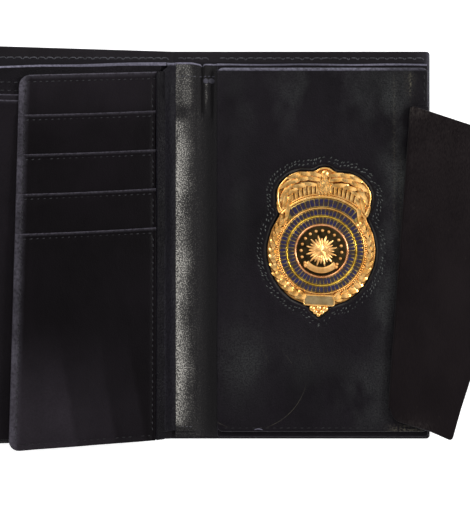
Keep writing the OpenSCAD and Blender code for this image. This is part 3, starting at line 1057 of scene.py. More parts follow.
@dataclass(frozen=True)
class Seam:
    """The thread of one kind of seam."""

    length: float = 2.0 * MM
    pitch: float = 3.0 * MM
    width: float = 0.55 * MM
    height: float = 0.3 * MM
    slant: float = 8.0
    missing: float = 0.0
    stray: float = 0.0

    def stitch(self) -> Piece:
        """Models one stitch: a flat lozenge of thread that dives into the leather at both ends.

        Returns:
            The stitch, along X.
        """
        piece = begin(bpy.ops.mesh.primitive_uv_sphere_add, segments=6, ring_count=6, radius=1)
        piece.data.transform(Matrix.Rotation(math.pi / 2, 4, "Y"))

        def draw_out(co: Vector) -> Vector:
            """Draws the ball out into a stitch.

            Args:
                co: A point of the ball.

            Returns:
                Where it comes to lie.
            """
            reach = math.copysign(abs(co.x) ** 0.75, co.x)
            dive = self.height * 1.4 * max(0.0, abs(reach) - 0.55)
            return Vector((reach * self.length / 2, co.y * self.width / 2, co.z * self.height - dive))

        return smooth(reshape(piece, draw_out), 80)

    def along(
        self, x0: float, y0: float, x1: float, y1: float, z: float, dice: random.Random
    ) -> list[Matrix]:
        """Places stitches on a straight run.

        Args:
            x0: Where the run starts, across.
            y0: Where it starts, up the wallet.
            x1: Where it ends, across.
            y1: Where it ends, up the wallet.
            z: Height of the leather under it.
            dice: The source of its small irregularities.

        Returns:
            One matrix for each stitch.
        """
        a, b = Vector((x0, y0)), Vector((x1, y1))
        count = max(1, round((b - a).length / self.pitch))
        heading = math.degrees(math.atan2(b.y - a.y, b.x - a.x))
        places = []
        for i in range(count):
            off = Vector((dice.uniform(-1, 1), dice.uniform(-1, 1))) * self.stray
            at = a.lerp(b, (i + 0.5) / count) + off
            turn = heading + self.slant + dice.uniform(-5, 5) * (1 + self.stray / (0.1 * MM))
            long = dice.uniform(0.85, 1.1)
            if dice.random() < self.missing:
                continue
            sunk = shift(at.x, at.y, z + dice.uniform(-0.04, 0.02) * MM)
            places.append(sunk @ spin(turn) @ stretch(long, 1, dice.uniform(0.85, 1.1)))
        return places

    def sew(self, runs: Sequence[tuple[float, ...]], dice: random.Random) -> Piece:
        """Sews straight runs, each given by its two ends and its height, as one piece."""
        places = [place for run in runs for place in self.along(*run, dice)]
        return stamp(self.stitch(), places)


@dataclass
class Outer:
    """The outer leather of both halves and the spine, with the cloth lining and the top seam."""

    finishes: Finishes
    corner: float = 1.5 * MM
    lining_rise: float = 0.12 * MM
    lining_inset: float = 1.3 * MM
    seam_drop: float = 3.0 * MM
    seam_stray: float = 2.7 * MM
    seam_margin: float = 1.8 * MM
    dip: float = 0.75 * MM
    cover: Span = boxed("cover_right", "cover_spine")
    lining: Span = boxed("lining_right", "lining_spine")
    inner: Span = boxed("inner_leather_right")

    def shell(self, side: Side) -> None:
        """Cuts the outer leather from one fold to the free edge, with round edges.

        Args:
            side: The half that it covers. The right one takes the spine with it.
        """
        half = (self.lining.high.z - self.cover.low.z) / 2
        low, high = self.cover.low, self.cover.high
        if side is Side.RIGHT:
            x0, x1 = FOLD_LEFT.x - half, high.x
            radii = [0, self.corner, self.corner, 0]
            columns = bend_columns(x0, x1, 7 * MM, 2 * MM)
            body, nodes = bend_over_fold, ("cover_right", "cover_spine", "fold_bead_right", "fold_bead_left")
        else:
            x0, x1 = -high.x, FOLD_LEFT.x + 0.85 * half
            radii = [self.corner, 0, 0, self.corner]
            columns = spread(x0, x1, 7 * MM, 2 * MM)
            body, nodes = Body.LEFT_COVER, ("cover_left",)
        outline = rounded(oblong((x0, low.y), (x1, high.y)), radii)
        rows = spread(low.y, high.y, 9 * MM, 1.6 * MM)
        piece = cut_leather(outline, low.z, 2 * half, half * 0.94, columns, rows, 4)

        def rubbed(co: Vector, n: Vector) -> float:
            """Pale along the upper rounded edges, most at the upper right corner: partly rubbed leather,
            partly a painted highlight on the rounded edge.

            Args:
                co: A point of the piece.
                n: The normal there.

            Returns:
                How pale it is.
            """
            if co.z < half:
                return 0.0
            corner = ease(high.x - 2.4 * MM, high.x - 1 * MM, co.x) * ease(40 * MM, 60 * MM, co.y)
            return 0.3 * ease(0.9, 0.2, abs(n.z)) + 0.35 * corner

        tint(piece, WEAR_AND_HIGHLIGHT, rubbed)
        dress(piece, f"outer_leather_{side.label}", self.finishes.cover, Slot.LEATHER, body, *nodes, angle=50)

    def cloth(self, side: Side) -> None:
        """Lays the cloth lining on the inside of one half.

        Args:
            side: The half that it lines. The right one takes the spine with it.
        """
        inset, rise = self.lining_inset, self.lining_rise
        low, high = self.lining.low, self.lining.high
        y1 = self.inner.high.y + inset
        if side is Side.RIGHT:
            x0, x1 = FOLD_LEFT.x + inset, high.x - inset
            columns = bend_columns(x0, x1, 8 * MM)
            body, nodes = bend_over_fold, ("lining_right", "lining_spine")
        else:
            x0, x1 = -high.x + inset, FOLD_LEFT.x - 3 * MM
            columns = spread(x0, x1, 8 * MM)
            body, nodes = Body.LEFT_COVER, ("lining_left",)
        outline = oblong((x0, low.y + inset), (x1, y1))
        rows = spread(low.y, y1, 12 * MM)
        piece = cut_leather(outline, high.z - rise, 2 * rise, rise * 0.6, columns, rows, 2)
        dress(piece, f"bill_lining_{side.label}", self.finishes.cloth, Slot.LINING, body, *nodes)

    def top_seam(self, side: Side | None) -> None:
        """Sews the turned top edge: long stitches with a small dip after each.

        Args:
            side: The half to sew, or None for the spine.
        """
        dice = random.Random(11 if side is None else 12 + side.value)
        margin, edge = self.seam_margin, self.cover.high.x
        left, right = {
            None: (FOLD_LEFT.x + margin, FOLD_RIGHT.x - margin),
            Side.RIGHT: (FOLD_RIGHT.x + margin, edge - 1.5 * margin),
            Side.LEFT: (-edge + 1.5 * margin, FOLD_LEFT.x - margin),
        }[side]
        y = self.cover.high.y - self.seam_drop
        pitch = (4.2 if side is Side.RIGHT else 3.4) * MM
        seam = Seam(length=2.6 * MM, width=0.62 * MM, pitch=pitch, slant=1)
        places = []
        for at in seam.along(left, y, right, y, self.lining.high.z, dice):
            places.append(at)
            for lean in (-1, 1):
                step = shift(seam.pitch * 0.5 + lean * 0.42 * MM, -self.dip * 0.55)
                places.append(at @ step @ spin(lean * 48) @ stretch(0.5, 0.85, 0.8))
        places = [place for place in places if left < place.translation.x < right]
        piece = stamp(seam.stitch(), places)
        if side is Side.LEFT:
            reshape(piece, lambda co: co + Vector((0, 0.3 * MM - self.seam_stray * abs(co.x) / edge, 0)))
        label, body, nodes = {
            None: ("spine", bend_over_fold, ["spine_thread"]),
            Side.RIGHT: ("right", Body.BADGE_SIDE, ["shell_thread_right"]),
            Side.LEFT: ("left", Body.LEFT_COVER, []),
        }[side]
        dress(piece, f"top_seam_{label}", self.finishes.thread, Slot.THREAD, body, *nodes)

    def build(self) -> None:
        """Builds the outer leather, its lining and its top seam."""
        for side in Side:
            self.shell(side)
            self.cloth(side)
            self.top_seam(side)
        self.top_seam(None)


@dataclass
class BillCompartment:
    """The inner leather of both halves, with the turned edge along its mouth, painted pale as a highlight."""

    finishes: Finishes
    roll: float = 0.32 * MM
    corner: float = 1.2 * MM
    step: float = 8 * MM
    margin: float = 0.9 * MM
    left_end: float = -14.8 * MM
    mouth_end: float = -12.2 * MM
    mouth_rise: float = 0.35 * MM
    right: Span = boxed("inner_leather_right")

    def sunk(self, side: Side, x: float) -> float:
        """How far the stretched mouth of the left half hangs down at a place across, and 0 on the right."""
        return 0.0 if side is Side.RIGHT else 0.7 * MM - 3.8 * MM * (abs(x) - FOLD_RIGHT.x) / (76 * MM)

    def leather(self, side: Side) -> None:
        """Cuts the inner leather of one half.

        Args:
            side: The half that it is for.
        """
        low, high = self.right.low, self.right.high
        x0, x1 = (low.x, high.x) if side is Side.RIGHT else (-high.x, self.left_end)
        outline = rounded(oblong((x0, low.y), (x1, high.y)), self.corner)
        columns, rows = (spread(*ends, self.step, self.margin) for ends in ((x0, x1), (low.y, high.y)))
        piece = cut_leather(outline, low.z, high.z - low.z, self.roll, columns, rows)
        # Edges painted pale where they turn from the top: rubbed leather and painted highlight.
        tint(piece, WEAR_AND_HIGHLIGHT, lambda co, n: 0.55 * ease(0.9, 0.3, abs(n.z)))

        def hang(co: Vector) -> Vector:
            """Lets the mouth hang with its edge."""
            return co + Vector((0, self.sunk(side, co.x) * ease(high.y - 9 * MM, high.y, co.y), 0))

        reshape(piece, hang)
        name, node = f"inner_leather_sheet_{side.label}", f"inner_leather_{side.label}"
        dress(piece, name, self.finishes.panel, Slot.LEATHER, side.body, node, angle=40)

    def mouth(self, side: Side) -> None:
        """Folds the turned edge along the mouth of one half, painted pale as a highlight.

        Args:
            side: The half that it is for.
        """
        low, high, rise = self.right.low, self.right.high, self.mouth_rise
        if side is Side.RIGHT:
            x0, x1, wide, level = low.x - 0.3 * MM, high.x - 0.2 * MM, 1.0 * MM, 0.15
        else:
            x0, x1, wide, level = -high.x, self.mouth_end, 1.6 * MM, 0.32
        outline = oblong((x0, high.y - wide * 0.75), (x1, high.y + wide * 0.25))
        columns, rows = spread(x0, x1, 3 * MM), [high.y - wide * 0.25]
        piece = cut_leather(outline, low.z - rise / 2, high.z - low.z + rise, 0.42 * MM, columns, rows)

        def wander(co: Vector) -> Vector:
            """Lets the edge wander as stretched leather does.

            Args:
                co: A point of the piece.

            Returns:
                Where it comes to lie.
            """
            off = abs(co.x) - FOLD_RIGHT.x
            lift = 0.12 * MM * math.sin(co.x / (6.3 * MM)) + self.sunk(side, co.x)
            narrow = 1.0 if side is Side.RIGHT else 0.6 + 0.4 * ease(70 * MM, 10 * MM, off)
            y = high.y + (co.y - high.y) * narrow + lift
            return Vector((co.x, y, co.z + 0.1 * MM * math.sin(co.x / (4.1 * MM))))

        reshape(piece, wander)
        # Painted highlight: paler where the roll faces up, with a slow wave along it.
        tint(piece, WEAR_AND_HIGHLIGHT, lambda co, n: level + 0.3 * n.z + 0.25 * math.sin(co.x / (13 * MM) + 1.5))
        dress(piece, f"turned_mouth_{side.label}", self.finishes.mouth, Slot.LINING, side.body, angle=40)

    def build(self) -> None:
        """Builds the leather and its turned edge on both halves."""
        for side in Side:
            self.leather(side)
            self.mouth(side)


@dataclass
class Spine:
    """The rubbed spine leather, the valley beside it and the tack at its top."""

    finishes: Finishes
    strip: Span = boxed("spine_strip")
    lap: Span = boxed("inner_leather_spine")
    panel: Span = boxed("badge_panel", "panel_board")
    valley_floor: float = 2.5 * MM
    patch_foot: float = 60.5 * MM
    rub_top: float = 57.0 * MM
    rub_foot: float = -80.3 * MM
    row_y: float = 74.6 * MM
    tack_y: float = 72.6 * MM
    left_edge: float = 0.42 * MM
    right_edge: float = 0.1 * MM
    skin: float = 0.15 * MM
    crease_x: float = 4.1 * MM
    crest_x: float = 5.9 * MM

    @property
    def bottom(self) -> float:
        """Underside of the valley's leather, just clear of the lining."""
        return self.lap.low.z + 0.12 * MM

    def rub(self, co: Vector) -> float:
        """How far the dye is rubbed off at a point of the spine.

        Args:
            co: The point.

        Returns:
            A share from 0 to 1.
        """
        across = (co.x - self.strip.low.x) / (self.strip.high.x - self.strip.low.x)
        dull = 0.09 * ease(2.0, 0.6, across)
        if co.y > self.patch_foot:
            grey = 0.4 * ease(1.0, 0.55, across) * ease(self.patch_foot, self.patch_foot + 2.5 * MM, co.y)
            return max(grey, 0.6 * dull)
        down = ease(self.rub_top, self.rub_top - 4 * MM, co.y)
        down *= ease(self.rub_foot, self.rub_foot + 1.5 * MM, co.y)
        waves = 0.08 * math.sin(co.y / (7 * MM)) + 0.05 * math.sin(co.y / (2.6 * MM) + 1)
        return down * 0.97 * ease(0.95, 0.0, across + waves) + dull

    def gleam(self, co: Vector) -> float:
        """How pale the tab beside the strip is painted along its crest."""
        along = ease(60 * MM, 66 * MM, co.y) * ease(73 * MM, 71 * MM, co.y)
        return 0.45 * along * hump(co.x, self.crest_x, 0.5 * MM)

    def drape(self, co: Vector) -> Vector:
        """Lets leather that spans the fold sink into it, with a tab beside the strip at its top.

        Args:
            co: A point of the leather as it is cut.

        Returns:
            Where the point comes to lie.
        """
        lap = self.lap
        sink = ease(1.2 * MM, 4.4 * MM, co.x) * (1 - 0.5 * ease(9.2 * MM, 10.7 * MM, co.x))
        head = ease(54.5 * MM, 57.5 * MM, co.y)
        crease = hump(co.x, self.crease_x, 0.55 * MM) * head
        ridge = ease(4.3 * MM, 5.6 * MM, co.x) * ease(9.4 * MM, 7.6 * MM, co.x) * head
        share = (co.z - self.bottom) / (lap.high.z - self.bottom)
        drop = sink * (lap.high.z - self.valley_floor) + 0.75 * MM * crease - 0.85 * MM * ridge
        edge = ease(lap.high.y - 3 * MM, lap.high.y + 1 * MM, co.y)
        wave = edge * (0.7 * MM * ease(3 * MM, -1 * MM, co.x) - 1.0 * MM * crease)
        return Vector((co.x, co.y + wave, co.z - drop * max(0.0, share)))

    def valley(self) -> None:
        """Lays the leather from under the spine's strip down into the fold and up to the badge panel."""
        low, high = self.lap.low, self.lap.high
        x1 = self.panel.low.x + 0.2 * MM
        columns, rows = spread(low.x, x1, 0.5 * MM, 0.5 * MM), spread(low.y, high.y, 3 * MM, 0.8 * MM)
        outline = oblong(low, (x1, high.y))
        piece = cut_leather(outline, self.bottom, high.z - self.bottom, 0.4 * MM, columns, rows)
        reshape(piece, self.drape)
        tint(piece, SCUFF, lambda co, n: self.rub(co) + self.gleam(co))
        finish, node = self.finishes.rubbed, "inner_leather_spine"
        dress(piece, "valley_leather", finish, Slot.LEATHER, bend_over_fold, node, angle=40)

    def lip(self) -> None:
        """Folds the turned edge at the top of the spine, painted pale as a highlight."""
        x0, x1, y = self.lap.low.x, self.panel.low.x, self.lap.high.y
        outline = oblong((x0, y - 0.5 * MM), (x1, y + 0.2 * MM))
        top = self.lap.high.z + 0.3 * MM
        piece = cut_leather(outline, self.bottom, top - self.bottom, 0.3 * MM, spread(x0, x1, 0.5 * MM))
        reshape(piece, self.drape)
        # Painted highlight: paler where the edge faces up.
        tint(piece, WEAR_AND_HIGHLIGHT, lambda co, n: 0.4 + 0.4 * n.z)
        dress(piece, "spine_mouth_edge", self.finishes.mouth, Slot.LINING, bend_over_fold, angle=40)

    def tack(self) -> None:
        """Sews the row across the tab and ties its two thick lumps of thread."""
        dice = random.Random(21)
        z = self.lap.high.z
        row = Seam(length=1.5 * MM, pitch=2.0 * MM, width=0.6 * MM, height=0.35 * MM, slant=12, missing=0.1)
        lump = Seam(length=2.4 * MM, pitch=2.6 * MM, width=2.6 * MM, height=0.45 * MM, slant=85)
        stitches = row.sew([(self.strip.high.x + 1 * MM, self.row_y, BEND_FROM, self.row_y, z)], dice)
        knots = lump.sew([(4.4 * MM, self.tack_y, 9.6 * MM, self.tack_y, z)], dice)
        piece = reshape(gather([stitches, knots]), self.drape)
        dress(piece, "spine_tack", self.finishes.tack, Slot.THREAD, bend_over_fold)

    def crown(self, co: Vector) -> Vector:
        """Raises the strip along its middle, with a step under the patch and a sewn line near its top.

        Args:
            co: A point of the strip as it is cut.

        Returns:
            The raised point.
        """
        low, high = self.strip.low, self.strip.high
        if co.z < low.z + 0.1 * MM:
            return co
        across = (2 * co.x - low.x - high.x) / (high.x - low.x)
        edge = self.left_edge if across < 0 else self.right_edge
        rise = edge + (high.z - low.z - edge - 0.1 * MM) * max(0.0, 1 - across * across)
        step = 0.3 * MM * hump(co.y, self.patch_foot - 1.5 * MM, 1.6 * MM)
        sewn = 0.25 * MM * hump(co.y, self.row_y, 0.7 * MM)
        ripple = 0.07 * MM * math.sin(co.y / (3.1 * MM) + 2 * across)
        inside = ease(1.0, 0.8, abs(across))
        return Vector((co.x, co.y, co.z - self.skin + rise - inside * (step + sewn - ripple)))

    def strip_leather(self) -> None:
        """Cuts the convex strip along the spine, rubbed grey, with a pressed line where its patch ends."""
        low, high = self.strip.low, self.strip.high
        outline = rounded(oblong(low, high), 0.8 * MM)
        columns, rows = spread(low.x, high.x, 0.6 * MM, 0.3 * MM), spread(low.y, high.y, 1.6 * MM, 0.6 * MM)
        piece = cut_leather(outline, low.z, self.skin, 0.04 * MM, columns, rows, 1)
        reshape(piece, self.crown)
        tint(piece, SCUFF, lambda co, n: self.rub(co))
        finish = self.finishes.rubbed
        dress(piece, "rubbed_spine_strip", finish, Slot.WORN, Body.SPINE, "spine_strip", angle=40)

    def strip_seams(self) -> None:
        """Sews the rows across the strip, at its top and its foot."""
        row = Seam(length=1.3 * MM, pitch=1.9 * MM, width=0.5 * MM, height=0.25 * MM, slant=12, missing=0.1)
        low, high = self.strip.low, self.strip.high
        runs = [(low.x + 0.8 * MM, y, high.x, y, low.z + self.skin) for y in (self.row_y, self.rub_foot)]
        piece = reshape(row.sew(runs, random.Random(22)), self.crown)
        dress(piece, "strip_seams", self.finishes.thread, Slot.THREAD, Body.SPINE)

    def build(self) -> None:
        """Builds the strip, the valley and what is sewn on them."""
        self.valley()
        self.lip()
        self.tack()
        self.strip_leather()
        self.strip_seams()


@dataclass
class Badge:
    """The struck badge: plate, wings, wreath, enamelled rings, medallion and bare number plate."""

    finishes: Finishes
    width: float = 47.6 * MM
    height: float = 66.1 * MM
    lean: float = 2.7
    half_outline: tuple[Spot, ...] = (
        (0, 0.561), (0.1, 0.553), (0.22, 0.53), (0.46, 0.525), (0.66, 0.496), (0.815, 0.439), (0.878, 0.38),
        (0.861, 0.3), (0.803, 0.233), (0.933, 0.133), (1, 0.027), (0.987, -0.061), (0.933, -0.127),
        (0.849, -0.194), (0.702, -0.266), (0.517, -0.322), (0.315, -0.353), (0.185, -0.372), (0, -0.439),
    )
    ring_shares: tuple[float, ...] = (0.174, 0.2315, 0.286)
    ring_w: float = 0.72 * MM
    waist_share: float = 0.236
    banner_share: float = 0.358
    banner_half_angle: float = 48.0
    leaf_l: float = 6.0 * MM
    leaf_w: float = 2.2 * MM
    wreath_nodes: int = 12
    berries: int = 35
    block_pitch: tuple[float, ...] = (1.55 * MM, 1.7 * MM, 2.1 * MM)
    short_feathers: int = 10
    feather_rows: tuple[tuple[Triple, ...], ...] = (
        ((4.2, 31.0, 8), (8.8, 31.6, -4), (13.0, 31.0, -20), (16.8, 28.6, -50), (18.9, 25.0, -78)),
        ((3.6, 32.9, 10), (7.8, 33.5, -1), (12.0, 33.1, -14), (16.0, 31.3, -38), (18.9, 28.0, -68)),
        ((5.5, 28.8, 4), (10.0, 28.6, -8), (13.8, 27.2, -30), (16.6, 24.6, -66), (18.0, 20.6, -84)),
    )
    lumps: tuple[tuple[Spot, Triple], ...] = (
        ((0, 34.0), (1.9, 2.0, 1.1)), ((-1.7, 33.6), (1.3, 0.6, 0.7)), ((0, 31.4), (2.0, 2.6, 0.95)),
        ((0, 28.2), (3.1, 3.6, 1.1)), ((-0.6, 34.5), (0.35, 0.35, 1.25)),
    )
    knobs: tuple[Triple, ...] = (
        (-2.9, -25.6, 1.5), (2.9, -25.6, 1.5), (0, -25.2, 1.2), (-1.5, -27.0, 1.2), (1.5, -27.0, 1.2),
        (0, -28.3, 1.0),
    )
    plate: Span = boxed("badge_plate")
    relief: Span = boxed("badge_rings")
    medallion: Span = boxed("badge_medallion")

    @property
    def at(self) -> Matrix:
        """The badge's own axes: its middle on the medallion, turned by its lean."""
        return shift(*self.medallion.middle.xy) @ spin(-self.lean)

    @property
    def ground(self) -> float:
        """Height of the struck ground."""
        return self.plate.high.z

    @property
    def wreath_edge(self) -> float:
        """Radius of the outer ring's outer edge, where the wreath begins."""
        return self.ring_shares[-1] * self.height + self.ring_w / 2

    def line(self, margin: float = 0.0) -> list[Vector]:
        """Draws the outline on the badge's own axes, clockwise from the top.

        Args:
            margin: How far it is grown.

        Returns:
            The outline's points.
        """
        half = [(x * self.width / 2, y * self.height) for x, y in self.half_outline]
        line = flow(half + [(-x, y) for x, y in half[-2:0:-1]])
        return grow(line, margin) if margin else line

    def fix(
        self, piece: Piece, name: str, finish: Material, slot: Slot, *stands_for: str, angle: float = 0.0
    ) -> None:
        """Sets a piece, modelled on the badge's own axes, in its place and dresses it."""
        piece.data.transform(self.at)
        dress(piece, name, finish, slot, Body.BADGE_SIDE, *stands_for, angle=angle)

    def spindle(
        self, length: float, width: float, height: float, vein: float = 0.35, grime_and_shade: Spot = (0.75, 0.34)
    ) -> Piece:
        """Models one pointed leaf or feather along +X from its stalk, with a pressed vein.

        Args:
            length: Its length.
            width: Its greatest width.
            height: Its height over the ground.
            vein: How far the vein is pressed in, as a share of the height.
            grime_and_shade: How dark its foot is painted, dirt and painted shade together, and up to what
                share of the height.

        Returns:
            The leaf.
        """
        leaf = begin(bpy.ops.mesh.primitive_uv_sphere_add, segments=8, ring_count=6, radius=1)
        leaf.data.transform(Matrix.Rotation(math.pi / 2, 4, "Y"))

        def draw(co: Vector) -> Vector:
            """Draws the ball out into a leaf.

            Args:
                co: A point of the ball.

            Returns:
                Where it comes to lie.
            """
            slim = 1 - 0.25 * ease(0, 1, co.x)
            pressed = vein * ease(0.35, 0.0, abs(co.y)) if co.z > 0 else 0.0
            tall = co.z * height * (1 - pressed) * (1 - 0.2 * co.x)
            return Vector(((co.x + 1) / 2 * length, co.y * slim * width / 2, tall))

        reshape(leaf, draw)
        # Painted shade: darker towards the foot of each leaf, where shade falls between the relief.
        tint(leaf, DEPTH, lambda co, n: grime_and_shade[0] * ease(grime_and_shade[1] * height, 0.05 * height, co.z))
        return smooth(leaf, 28)

    def beads(self, spots: Sequence[Triple], radius: float) -> Piece:
        """Sets round beads on the ground, each given by its places across, up and over it."""
        bead = smooth(begin(bpy.ops.mesh.primitive_ico_sphere_add, subdivisions=2, radius=radius), 80)
        return stamp(bead, [shift(x, y, self.ground + z) for x, y, z in spots])

    def hoop(self, radius: float, half_w: float, height: float, segments: int = 96) -> Piece:
        """Turns a ring with a round section whose foot is sunk in the ground.

        Args:
            radius: Radius of its middle line.
            half_w: Half its width.
            height: Its height over the ground.
            segments: Steps round it.

        Returns:
            The ring.
        """
        radii = {"major_radius": radius, "minor_radius": half_w}
        steps = {"major_segments": segments, "minor_segments": 12}
        hoop = begin(bpy.ops.mesh.primitive_torus_add, **radii, **steps)
        hoop.data.transform(shift(0, 0, self.ground) @ stretch(1, 1, height / half_w))
        return smooth(hoop, 80)

    def bent_plate(
        self, inner: float, outer: float, middle: float, half: float, low: float, crown: float
    ) -> Piece:
        """Bends a strip round the middle of the badge.

        Args:
            inner: Inner radius.
            outer: Outer radius.
            middle: Angle of its middle from +X, in degrees.
            half: Half the angle that it covers, in degrees.
            low: Height of its edges over the ground.
            crown: Height of its middle over its edges.

        Returns:
            The strip, closed underneath.
        """
        strip = begin(bpy.ops.mesh.primitive_grid_add, x_subdivisions=48, y_subdivisions=8, size=2)

        def bend(co: Vector) -> Vector:
            """Bends the flat grid round, with its middle raised."""
            height = self.ground + low + crown * (1 - co.y**4) * (1 - co.x**12)
            return Vector((*polar(inner + (outer - inner) * (co.y + 1) / 2, middle - co.x * half), height))

        face_outwards(reshape(strip, bend))
        if strip.data.polygons[0].normal.z < 0:
            strip.data.flip_normals()
        press(strip, "SOLIDIFY", thickness=0.3 * MM, offset=-1)
        return smooth(strip, 60)

    def struck_plate(self) -> None:
        """Cuts the plate that carries the badge, with a soft edge; its ground is darker than the relief gold,
        as painted shade between the leaves and feathers.
        """
        low = self.plate.low.z
        plate = cut_leather([tuple(p) for p in self.line()], low, self.ground - low, 0.4 * MM)
        self.fix(plate, "struck_plate", self.finishes.ground, Slot.DARK_GOLD, "badge_plate", angle=50)

    def rim(self) -> None:
        """Runs a raised wire round the crest, from waist to waist, and two over the banner."""
        high = self.ground + 0.35 * MM
        upper = [p for p in self.line(-0.55 * MM) if p.y > self.waist_share * self.height]
        upper.sort(key=lambda p: math.atan2(p.x, p.y))
        wires = [tube([Vector((*p, high)) for p in upper], 0.5 * MM)]
        arc = self.banner_share * self.height + 0.35 * MM
        ends, steps = self.banner_half_angle + 1.5, 40
        for radius, wire in ((arc, 0.6 * MM), (arc + 1.0 * MM, 0.32 * MM)):
            bows = [polar(radius, 90 - ends * (2 * i / steps - 1)) for i in range(steps + 1)]
            wires.append(tube([Vector((*spot, high)) for spot in bows], wire))
        self.fix(gather(wires), "crest_rim", self.finishes.gold, Slot.GOLD, angle=60)

    def wings(self) -> None:
        """Lays the plumage: short feathers on the banner under rows of long ones that follow the rim."""
        base = self.banner_share * self.height + 0.9 * MM
        places = []
        for side in Side:
            mirror = stretch(side.value, 1, 1)
            for i in range(self.short_feathers):
                x = (3.0 + 1.78 * i) * MM
                root = shift(x, math.sqrt(max(0.0, base * base - x * x)), self.ground)
                places.append(mirror @ root @ spin(90 - 1.6 * i) @ stretch(1.16 - 0.025 * i, 0.95, 1))
            for row, feathers in enumerate(self.feather_rows):
                for x, y, angle in feathers:
                    root = shift((x - 2.6) * MM, y * MM, self.ground + 0.22 * MM * (3 - row))
                    places.append(mirror @ root @ spin(angle) @ stretch(1.3, 1.3, 1.1))
        plumage = stamp(self.spindle(6.2 * MM, 2.1 * MM, 1.1 * MM), places)
        self.fix(plumage, "crest_plumage", self.finishes.gold, Slot.GOLD, "badge_crest")

    def bird(self) -> None:
        """Models the raised head, neck and breast between the wings."""
        parts = []
        for (x, y), size in self.lumps:
            lump = begin(bpy.ops.mesh.primitive_uv_sphere_add, segments=16, ring_count=10, radius=1)
            lump.data.transform(shift(x * MM, y * MM, self.ground) @ stretch(*(s * MM for s in size)))
            parts.append(smooth(lump, 60))
        scales = []
        for row in range(5):
            for i in range(4 - row % 2):
                x, y = (i - (3 - row % 2) / 2) * 1.5 * MM, (26.8 + 1.5 * row) * MM
                scales.append(shift(x, y, self.ground + 0.75 * MM) @ spin(-90) @ stretch(0.42, 0.62, 0.55))
        parts.append(stamp(self.spindle(6.2 * MM, 2.3 * MM, 0.85 * MM), scales))
        self.fix(gather(parts), "crest_head_and_breast", self.finishes.gold, Slot.GOLD)

    def wreath(self) -> None:
        """Winds the laurel wreath up both sides, three leaves to a node, with berries at its inner edge."""
        radius = self.wreath_edge + self.leaf_w * 0.85
        nodes = self.wreath_nodes
        dice = random.Random(5)
        places = []
        for side in Side:
            mirror = stretch(side.value, 1, 1)
            for i in range(nodes):
                angle = -75 + 102 * i / (nodes - 1)
                low = ease(-15, -60, angle)
                room = 0.2 * MM * math.sin(math.pi * i / nodes) + 0.75 * MM * low
                for tip, lift in ((-1, 0.0), (1, 0.05), (0, 0.3)):
                    root = spin(angle) @ shift(radius + room - tip * 0.35 * MM, 0, self.ground + lift * MM)
                    turn = spin(96 - tip * 25 + dice.uniform(-5, 5))
                    size = dice.uniform(0.82, 0.98) * (0.86 if tip == 0 else 0.95)
                    places.append(mirror @ root @ turn @ stretch(size, 1 + 0.3 * low, size))
        leaves = stamp(self.spindle(self.leaf_l, self.leaf_w, 1.2 * MM, 0.3, (0.9, 0.42)), places)
        inner = self.wreath_edge + 0.35 * MM
        arc = [polar(inner, -62 + 96 * i / (self.berries - 1)) for i in range(self.berries)]
        berries = self.beads([(side.value * x, y, 0.5 * MM) for side in Side for x, y in arc], 0.42 * MM)
        self.fix(gather([leaves, berries]), "laurel_wreath", self.finishes.gold, Slot.GOLD, "badge_wreath")

    def rings(self) -> None:
        """Turns the three gold rings, the two dull gold bands between them and the banner over them."""
        height = self.relief.high.z - self.ground
        radii = [share * self.height for share in self.ring_shares]
        finishes = self.finishes
        kinds = (
            ("inner_ring", finishes.red_gold, 0.75, ()),
            ("middle_ring", finishes.yellow_gold, 0.5, ("badge_rings",)),
            ("outer_ring", finishes.gold, 0.5, ()),
        )
        for radius, (name, finish, wide, nodes) in zip(radii, kinds):
            self.fix(self.hoop(radius, self.ring_w * wide, height), name, finish, Slot.GOLD, *nodes)
        crown = 0.45 * MM
        bands = [self.hoop((a + b) / 2, (b - a) / 2, crown) for a, b in zip(radii, radii[1:])]
        outer = self.banner_share * self.height
        bands.append(self.bent_plate(radii[-1], outer, 90, self.banner_half_angle, 0.05 * MM, crown))
        self.fix(gather(bands), "gold_bands", finishes.band_gold, Slot.DARK_GOLD)

    def blocks(self) -> None:
        """Fills the bands and the banner with even rows of blue enamel blocks."""
        edges = [share * self.height for share in (*self.ring_shares, self.banner_share)]
        rows = []
        for inner, outer, pitch in zip(edges, edges[1:], self.block_pitch):
            banner = outer == edges[-1]
            radius = (inner + outer) / 2
            half_w, half_h = 0.4 * pitch, (outer - inner) * 0.33
            turn = 2 * self.banner_half_angle - 8 if banner else 360
            count = round(math.radians(turn) * radius / pitch)
            shape = rounded(oblong((-half_w, -half_h), (half_w, half_h)), 0.3 * MM, 2)
            tall = (0.55 if banner else 0.47) * MM
            block = cut_leather(shape, self.ground + 0.15 * MM, tall, 0.1 * MM, segments=1)
            places = [spin(-turn * ((i + 0.5) / count - 0.5)) @ shift(0, radius) for i in range(count)]
            rows.append(stamp(smooth(block, 40), places))
        self.fix(gather(rows), "enamel_blocks", self.finishes.enamel, Slot.ENAMEL, "badge_enamel")

